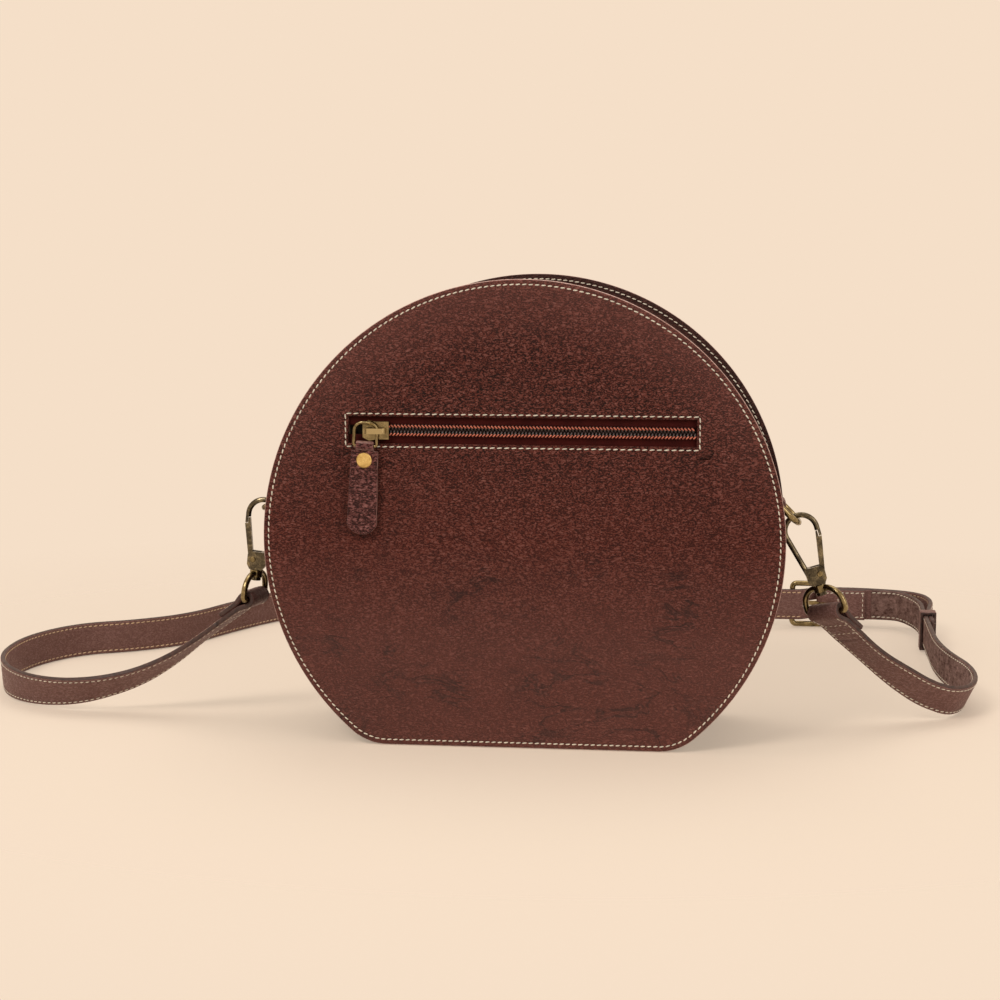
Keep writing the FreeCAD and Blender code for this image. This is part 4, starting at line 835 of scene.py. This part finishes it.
def make_main_zip():
    pitch = CHAIN_PITCH / TAPE_OUTER
    start = radians(-52.8) - CHAIN_LEAD / TAPE_OUTER
    places = chain_places(start, radians(51.75), radians(55.6), pitch)
    coil_rows(arc_frame, places, pitch,
              ("main_zip_coil_rear", "main_zip_coil_front"))
    stations = top_stations(ZIP_ANGLE + 4.0 * MM / TAPE_OUTER, 80)
    top = RADIUS - TAPE_OUTER
    reaches = enumerate(spread(TAPE_NEAR, TAPE_FAR, TAPE_RIBS))
    section = [(reach, top + (0.02 if i % 2 else 0.1) * MM) for i, reach in reaches]
    section += [(TAPE_FAR, top + 0.66 * MM), (TAPE_NEAR, top + 0.66 * MM)]
    for label, sign in (("front", -1), ("rear", 1)):
        obj = sweep(f"main_tape_{label}", stations, [(sign * y, inset) for y, inset in section], TAPE)
        stand_in(f"main_zip_tape_{label}")


# Softened leather pieces

EDGE_LEAN = 0.8
KEEPER_LEAN = 0.6


def flat_way(mesh):
    """The direction across a flat piece, in which its points spread least."""
    points = np.array([v.co for v in mesh.vertices])
    return Vector(np.linalg.eigh(np.cov(points.T))[1][:, 0])


def soften(name, node, material, voxel, smooth, body, wrinkle, edge=None):
    """A copy of a leather solid with rounded edges, as hide has, and a little unevenness."""
    obj = node_copy(name, node, material)
    modify(obj, "WELD", merge_threshold=0.00001)
    modify(obj, "REMESH", mode="VOXEL", voxel_size=voxel, use_smooth_shade=True)
    modify(obj, "SMOOTH", factor=0.5, iterations=smooth)
    settle(obj)
    done = obj.data
    dress(done, material)
    done.update()
    normals = [v.normal.copy() for v in done.vertices]
    for vertex, normal in zip(done.vertices, normals):
        vertex.co += normal * (wrinkle * noise.noise(vertex.co * 220.0))
    done.update()
    if edge:
        done.materials.append(edge)
        across = flat_way(done)
        for face in done.polygons:
            face.material_index = int(abs(face.normal.dot(across)) < EDGE_LEAN)
    done.shade_smooth()
    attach(obj, body)
    stand_in(node)
    return obj


# Straps: the routes' control points and the tilts in degrees, as in the part's source

LONG_ROUTE = [
    (-0.15664, 0.00306, 0.05034), (-0.16703, 0.00507, 0.04279), (-0.187, 0.006, 0.028), (-0.209, 0.006, 0.017),
    (-0.236, 0.004, 0.011), (-0.262, 0.011, 0.0097), (-0.284, 0.031, 0.0096), (-0.2975, 0.062, 0.0095),
    (-0.298, 0.102, 0.0095), (-0.28, 0.137, 0.0095), (-0.25, 0.15, 0.0095), (-0.223, 0.173, 0.0095),
    (-0.207, 0.212, 0.0095), (-0.185, 0.252, 0.0096), (-0.145, 0.284, 0.0098), (-0.09, 0.297, 0.0102),
    (-0.03, 0.294, 0.011), (0.03, 0.283, 0.0122), (0.076, 0.271, 0.0134), (0.1164, 0.2627, 0.0145),
    (0.1371, 0.2627, 0.0145), (0.1422, 0.26385, 0.0145), (0.14902, 0.27128, 0.0145), (0.15615, 0.2722, 0.0145),
    (0.18, 0.2722, 0.0145), (0.21265, 0.26995, 0.0132), (0.2194, 0.2452, 0.0132), (0.2149, 0.223, 0.0119),
    (0.2149, 0.205, 0.0119), (0.2149, 0.187, 0.0119),
]
LONG_TILTS = [-88.3, -88.3, -72, -54, -38, -24, -8]
SHORT_ROUTE = [
    (0.15869, 0.00912, 0.04765), (0.1666, 0.01525, 0.03936), (0.184, 0.024, 0.025), (0.199, 0.03, 0.0146),
    (0.213, 0.036, 0.0098), (0.222, 0.052, 0.0095), (0.224, 0.08, 0.0099), (0.217, 0.108, 0.0103),
    (0.2124, 0.138, 0.011), (0.212, 0.169, 0.0119), (0.212, 0.196, 0.0119), (0.212, 0.223, 0.0119),
    (0.212, 0.2403, 0.0132), (0.203, 0.2628, 0.0145), (0.193, 0.2673, 0.0145), (0.184, 0.2673, 0.0145),
]
SHORT_TILTS = [73.1, 73.1, 52, 42, 34, 26, 14, 4]
LEFT_BAR = Vector((-0.1406, 0.0, 0.0636))
RIGHT_BAR = Vector((0.1463, 0.0, 0.062))
BUCKLE_BAR = Vector((0.155, 0.266, 0.0145))
PRONG_PLACE = Vector((0.1464, 0.2685, 0.0145))
PRONG_SLOT = (0.1419, 0.245, 0.0125), (0.1509, 0.29, 0.0165)
BUCKLE_SLOT = (0.144, 0.255, 0.0129), (0.16, 0.278, 0.0161)
SLOT_START = 0.1405
HOLE_PITCH = 25 * MM
HOLE_SIDES = 20
STRAP_STITCH = 1.9 * MM
FOLD_STEPS = 12
FOLD_EASE = 8.0 * MM


def spline_points(points):
    """Points along the smooth curve that has these control points."""
    data = bpy.data.curves.new("route", "CURVE")
    set_all(data, dimensions="3D", resolution_u=10)
    spline = data.splines.new("NURBS")
    spline.points.add(len(points) - 1)
    for control, point in zip(spline.points, points):
        control.co = (*point, 1.0)
    spline.order_u = 3
    spline.use_endpoint_u = True
    obj = add_object("route", data)
    mesh = evaluated_mesh(obj)
    found = [v.co.copy() for v in mesh.vertices]
    bpy.data.objects.remove(obj)
    bpy.data.curves.remove(data)
    bpy.data.meshes.remove(mesh)
    return found


def strap_frames(route, tilts):
    """Places along a strap, each with the directions along it, across its width and out of its face."""
    tilts = tilts + [0.0] * (len(route) - len(tilts))
    points = spline_points(route)
    turns = spline_points([(tilt * MM, 0, i * MM) for i, tilt in enumerate(tilts)])
    frames = []
    for i, point in enumerate(points):
        way = heading(points, i)
        up = (Vector((0, 0, 1)) - way * way.z).normalized()
        tilt = radians(turns[min(i, len(turns) - 1)].x / MM)
        width = up * cos(tilt) + way.cross(up) * sin(tilt)
        frames.append((point, way, width, way.cross(width)))
    return frames


def strap_section():
    """A two-ply strap's section: rounded edges, a line between the plies and stitching dips."""
    half, deep = STRAP_WIDTH / 2, STRAP_THICK / 2
    upper = [(half - 0.9 * MM, deep - 0.04 * MM), (half - 0.35 * MM, deep - 0.25 * MM), (half - 0.05 * MM, deep * 0.45)]
    edge = upper + [(half - 0.22 * MM, 0.0)] + [(w, -n) for w, n in reversed(upper)]
    line = half - STRAP_STITCH
    far = [(line + 0.5 * MM, deep), (line, deep - 0.22 * MM), (line - 0.5 * MM, deep),
           (line - 2.5 * MM, deep + 0.06 * MM)]
    top = [(-w, n) for w, n in far] + [(w, n) for w, n in reversed(far)]
    bottom = [(w, -n) for w, n in reversed(top)]
    left = [(-w, n) for w, n in reversed(edge)]
    return top + edge + bottom + left


def ribbon(name, frames, material, inner=None):
    """A strap along frames. inner is the finish of its other face, where that differs."""
    section = strap_section()
    count = len(section)
    rings = [[point + width * w + face * n for w, n in section] for point, way, width, face in frames]
    obj = loft(name, rings, material, EDGE, *([inner] if inner else []))
    edge_sides = {i for i, (w, n) in enumerate(section) if abs(w) > STRAP_WIDTH / 2 - 0.6 * MM}
    for number, polygon in enumerate(obj.data.polygons):
        side, after = number % count, (number + 1) % count
        if side in edge_sides and after in edge_sides:
            polygon.material_index = 1
        elif inner and section[side][1] < 0 and section[after][1] < 0:
            polygon.material_index = 2
    for end in obj.data.polygons[-2:]:
        end.material_index = 1
    return obj


def edge_lines(frames, face_sign):
    """Stitch rows along both edges of one face of a strap."""
    lines = []
    for side in (1, -1):
        reach = side * (STRAP_WIDTH / 2 - STRAP_STITCH)
        lift = face_sign * (STRAP_THICK / 2 - 0.2 * MM)
        lines.append([(point + width * reach + face * lift, face * face_sign) for point, way, width, face in frames])
    return lines


def fold_frames(bar, way, outer, wire, tail, neck):
    """Frames of a sewn end, from its tail round the bar to the neck. outer points away from the tail."""
    flat = STRAP_THICK / 2
    around = wire / 2 + 0.3 * MM + flat
    shares = spread(0.0, 1.0, FOLD_STEPS)

    def offset(x):
        return flat + (around - flat) * smooth_step(1 - x / FOLD_EASE)

    spots = [(x, -offset(x) - 0.02 * MM) for x in (tail * (1 - share) for share in shares)]
    for share in shares[1:-1]:
        angle = radians(-90 - 180 * share)
        spots.append((around * cos(angle), around * sin(angle)))
    spots += [(x, offset(x)) for x in (neck * share for share in shares)]
    points = [bar + way * x + outer * n for x, n in spots]
    width = way.cross(outer)
    ways = [heading(points, i) for i in range(len(points))]
    return [(point, ahead, width, ahead.cross(width)) for point, ahead in zip(points, ways)]


def cross_lines(bar, way, outer, places, depth):
    """Stitch rows across a sewn end, on both of its faces."""
    half = STRAP_WIDTH / 2 - STRAP_STITCH
    reaches = [way.cross(outer) * reach for reach in spread(-half, half, 8)]
    return [
        [(bar + way * place + reach + outer * (face * depth), outer * face) for reach in reaches]
        for place in places for face in (1, -1)
    ]


def cut(obj, verts, faces):
    """Cut a piece by a closed shape."""
    cutter = new_object("cutter", verts, faces, EDGE, smooth=False)
    recalc_normals(cutter)
    modify(obj, "BOOLEAN", operation="DIFFERENCE", solver="EXACT", object=cutter)
    settle(obj)
    bpy.data.objects.remove(cutter)


def cut_box(obj, low, high):
    (ax, ay, az), (bx, by, bz) = low, high
    ring = (ay, az), (by, az), (by, bz), (ay, bz)
    cut(obj, [(x, y, z) for x in (ax, bx) for y, z in ring], tube_faces(0, 2, 4))


def punch(obj, point, out, radius, depth):
    first = out.orthogonal().normalized() * radius
    second = out.cross(first)
    verts = [v for end in (-1, 1) for v in ring_of(point + out * (end * depth), first, second, HOLE_SIDES)]
    cut(obj, verts, tube_faces(0, 2, HOLE_SIDES))


def make_straps():
    long_frames = strap_frames(LONG_ROUTE, LONG_TILTS)
    short_frames = strap_frames(SHORT_ROUTE, SHORT_TILTS)
    travel = travelled(long_frames)
    long_strap = ribbon("strap_long_run", long_frames, HIDE_STRAP_SHEEN)
    cut_box(long_strap, *PRONG_SLOT)
    short_strap = ribbon("strap_short_run", short_frames, HIDE_STRAP_SHEEN, SUEDE)
    middle = min(range(len(long_frames)), key=lambda i: (long_frames[i][0] - PRONG_PLACE).length)
    for step in (-2, -1, 1):
        goal = travel[middle] + step * HOLE_PITCH
        point, way, width, face = next(f for f, at in zip(long_frames, travel) if at >= goal)
        punch(long_strap, point, face, 2.0 * MM, 4 * MM)
    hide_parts("strap_long")
    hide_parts("strap_short")
    pieces = {long_strap: [], short_strap: []}
    ends = (
        ("left", LEFT_BAR, LONG_ROUTE[:2], 17 * MM, 3.0 * MM, long_strap),
        ("right", RIGHT_BAR, SHORT_ROUTE[:2], 17 * MM, 3.0 * MM, short_strap),
        ("buckle", BUCKLE_BAR, SHORT_ROUTE[:-3:-1], 25 * MM, 3.4 * MM, short_strap),
    )
    for label, bar, (point, ahead), tail, wire, strap in ends:
        point = Vector(point)
        way = (Vector(ahead) - point).normalized()
        neck = (point - bar).dot(way)
        outer = (point - bar - way * neck).normalized()
        frames = fold_frames(bar, way, outer, wire, tail, neck)
        end = ribbon(f"strap_end_{label}", frames, HIDE_STRAP_SHEEN)
        if label == "buckle":
            cut_box(end, *BUCKLE_SLOT)
        lines = edge_lines(frames, -1)
        flat = FOLD_STEPS + 1
        lines = [line[:flat] for line in lines] + [line[-flat:] for line in lines]
        lines += cross_lines(bar, way, outer, (8.5 * MM, tail - 1.4 * MM), STRAP_THICK - 0.16 * MM)
        sewn = make_stitches(f"strap_end_{label}_stitching", lines, STRAP_PITCH, 2.3 * MM, 0.34 * MM)
        pieces[strap] += [end, sewn]
    long_parts = [[f for f in long_frames[:middle] if f[0].x < SLOT_START], long_frames[middle + 6:]]
    for strap, parts, right_thread in ((long_strap, long_parts, GOLD_THREAD), (short_strap, [short_frames], THREAD)):
        for side, label, colour in ((1, "right", right_thread), (-1, "left", THREAD)):
            lines = [line for part in parts for line in edge_lines(part, side)]
            name = f"{strap.name}_stitching_{label}"
            pieces[strap].append(make_stitches(name, lines, STRAP_PITCH, 2.3 * MM, material=colour))
    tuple(LONG_ROUTE[0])
    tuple(SHORT_ROUTE[0])
    travelled(short_frames)[-1]


# Stage

BACKDROP = (0.913, 0.738, 0.578, 1)
ROOM_LIGHT = (1.0, 0.97, 0.93, 1)
FLOOR_REACH = 2.5
FLOOR_DROP = -0.0004


def make_stage():
    g = Finish("floor_paper")
    paper = g.mix(g.math("MULTIPLY", g.noise(3.0, 2.0), 0.04), (0.876, 0.712, 0.562), (0.83, 0.67, 0.52))
    material = g.done(paper, None, 0.9, Specular_IOR_Level=0.1)
    flattened = g.node("ShaderNodeMapping", Vector=g.place, Location=(0, -0.1, 0), Scale=(0.8, 1, 1)).outputs[0]
    away = g.node("ShaderNodeVectorMath", {"operation": "LENGTH"}, _0=flattened).outputs["Value"]
    clear = g.node("ShaderNodeBsdfTransparent").outputs[0]
    fade = g.ramp(away, (0.18, 0.35), (0.52, 1.0))
    blend = g.node("ShaderNodeMixShader", _0=fade, _1=g.shader.outputs[0], _2=clear).outputs[0]
    g.fill(g.tree.nodes["Material Output"].inputs["Surface"], blend)
    low, high = -FLOOR_REACH, FLOOR_REACH
    corners = [(x, y, FLOOR_DROP) for x, y in ((low, low), (high, low), (high, high), (low, high))]
    new_object("floor", corners, [(0, 1, 2, 3)], material, smooth=False)
    world = bpy.data.worlds.new("studio")
    bpy.context.scene.world = world
    room = Graph(world)
    room.tree.nodes.clear()
    rays = room.node("ShaderNodeLightPath").outputs
    seen = rays["Is Camera Ray"]
    for kind in ("Is Glossy Ray", "Is Transmission Ray"):
        seen = room.math("MAXIMUM", seen, rays[kind])
    plain = room.node("ShaderNodeBackground", Color=BACKDROP, Strength=1.0).outputs[0]
    glow = room.node("ShaderNodeBackground", Color=ROOM_LIGHT, Strength=0.42).outputs[0]
    choice = room.node("ShaderNodeMixShader", _0=seen, _1=glow, _2=plain).outputs[0]
    room.node("ShaderNodeOutputWorld", Surface=choice)


def aim(name, data, place):
    """A lamp or camera that points at the middle of the bag."""
    obj = add_object(name, data)
    obj.location = place
    obj.rotation_euler = (MIDDLE - Vector(place)).to_track_quat("-Z", "Y").to_euler()
    return obj


def add_light(name, place, size, power, colour):
    data = bpy.data.lights.new(name, "AREA")
    set_all(data, shape="RECTANGLE", size=size[0], size_y=size[1], energy=power, color=colour)
    aim(name, data, place)


def make_camera():
    yaw, rise, distance = radians(6.2), radians(9.0), 1.0
    back = Vector((sin(yaw) * cos(rise), -cos(yaw) * cos(rise), sin(rise)))
    data = bpy.data.cameras.new("camera")
    set_all(data, sensor_width=36.0, lens=72.7, shift_x=-0.0305, shift_y=0.0305, clip_start=0.01)
    bpy.context.scene.camera = aim("camera", data, MIDDLE + back * distance)


# Pieces


def make_bag():
    make_panel("pocket_face", "pocket_panel", -1)
    make_panel("plain_face", "plain_panel", 1)
    make_gusset()
    make_strip("strip_front", -1)
    make_strip("strip_rear", 1)
    make_bag_stitching()
    make_pocket_zip()
    make_main_zip()


def make_leather_pieces():
    for zip_name in ("pocket", "main"):
        soften(f"{zip_name}_pull", f"{zip_name}_zip_pull_tab", HIDE_TAB, 0.34 * MM, 8, f"{zip_name}_pull",
               wrinkle=0.12 * MM, edge=TAB_EDGE)
    for side in ("left", "right"):
        soften(f"ring_tab_{side}", f"side_tab_{side}", HIDE_STRAP_SHEEN, 0.34 * MM, 6, "bag", wrinkle=0.1 * MM)
    keeper = soften("keeper_loop", "strap_keeper", HIDE_STRAP_SHEEN, 0.36 * MM, 6, "keeper", wrinkle=0.1 * MM)
    keeper.data.materials.append(EDGE)
    for face in keeper.data.polygons:
        face.material_index = int(abs(face.normal.y) > KEEPER_LEAN)


def make_gate_leaf(side):
    """The leaf spring behind a gate, which on the real hook gives way as the gate opens; here it is one rigid copy
    carried with its hook.
    """
    node = f"gate_spring_{side}"
    leaf = node_copy(f"gate_leaf_{side}", node, STEEL)
    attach(leaf, f"hook_{side}")
    stand_in(node)
    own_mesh(leaf)


def both(*names):
    return [f"{name}_{side}" for name in names for side in ("left", "right")]


def paint_hardware():
    for zip_name, way in (("pocket", (0, -1, 0)), ("main", MAIN_SLIDER_OUT)):
        node = f"{zip_name}_zip_slider"
        heights = [v.co.dot(Vector(way)) for v in nodes[node].data.vertices]
        low, high = min(heights), max(heights)
        # The upper half of each slider, its bridge, is brightened: rubbed brass with a painted highlight.
        rise = (way, low + 0.5 * (high - low), high)
        paint([node], metal(f"{zip_name}_slider_brass", *ANTIQUE_TONES, rise=rise), 0.5 * MM)
    paint(["pocket_zip_pull_ring", "main_zip_pull_ring", "buckle_frame"], ANTIQUE)
    paint(both("d_ring", "swivel_loop"), ANTIQUE, 0.25 * MM)
    paint(both("hook_body", "hook_gate"), DARK_BRASS, 0.35 * MM)
    paint(both("gate_pin") + ["buckle_prong"], ANTIQUE, 0.2 * MM)
    paint(["pocket_zip_pull_rivet", "main_zip_pull_rivet"], POLISHED, 0.2 * MM)
    paint(["panel_board_front", "panel_board_rear", "base_board"], BOARD)
    paint(["lining_gusset", "lining_front", "lining_rear", "pocket_bag"], LINING)


bpy.context.scene.view_settings.view_transform = "Standard"
make_camera()
make_stage()
make_straps()
make_bag()
make_leather_pieces()
paint_hardware()
make_gate_leaf("left")
make_gate_leaf("right")
add_light("key", (-0.9, -1.5, 1.7), (0.8, 0.8), 25.0, (1.0, 0.97, 0.93))
add_light("fill", (1.5, -1.2, 0.9), (1.0, 1.4), 11.0, (1.0, 0.97, 0.94))
add_light("top", (0.0, 0.5, 2.0), (1.6, 1.6), 15.0, (1.0, 0.98, 0.95))
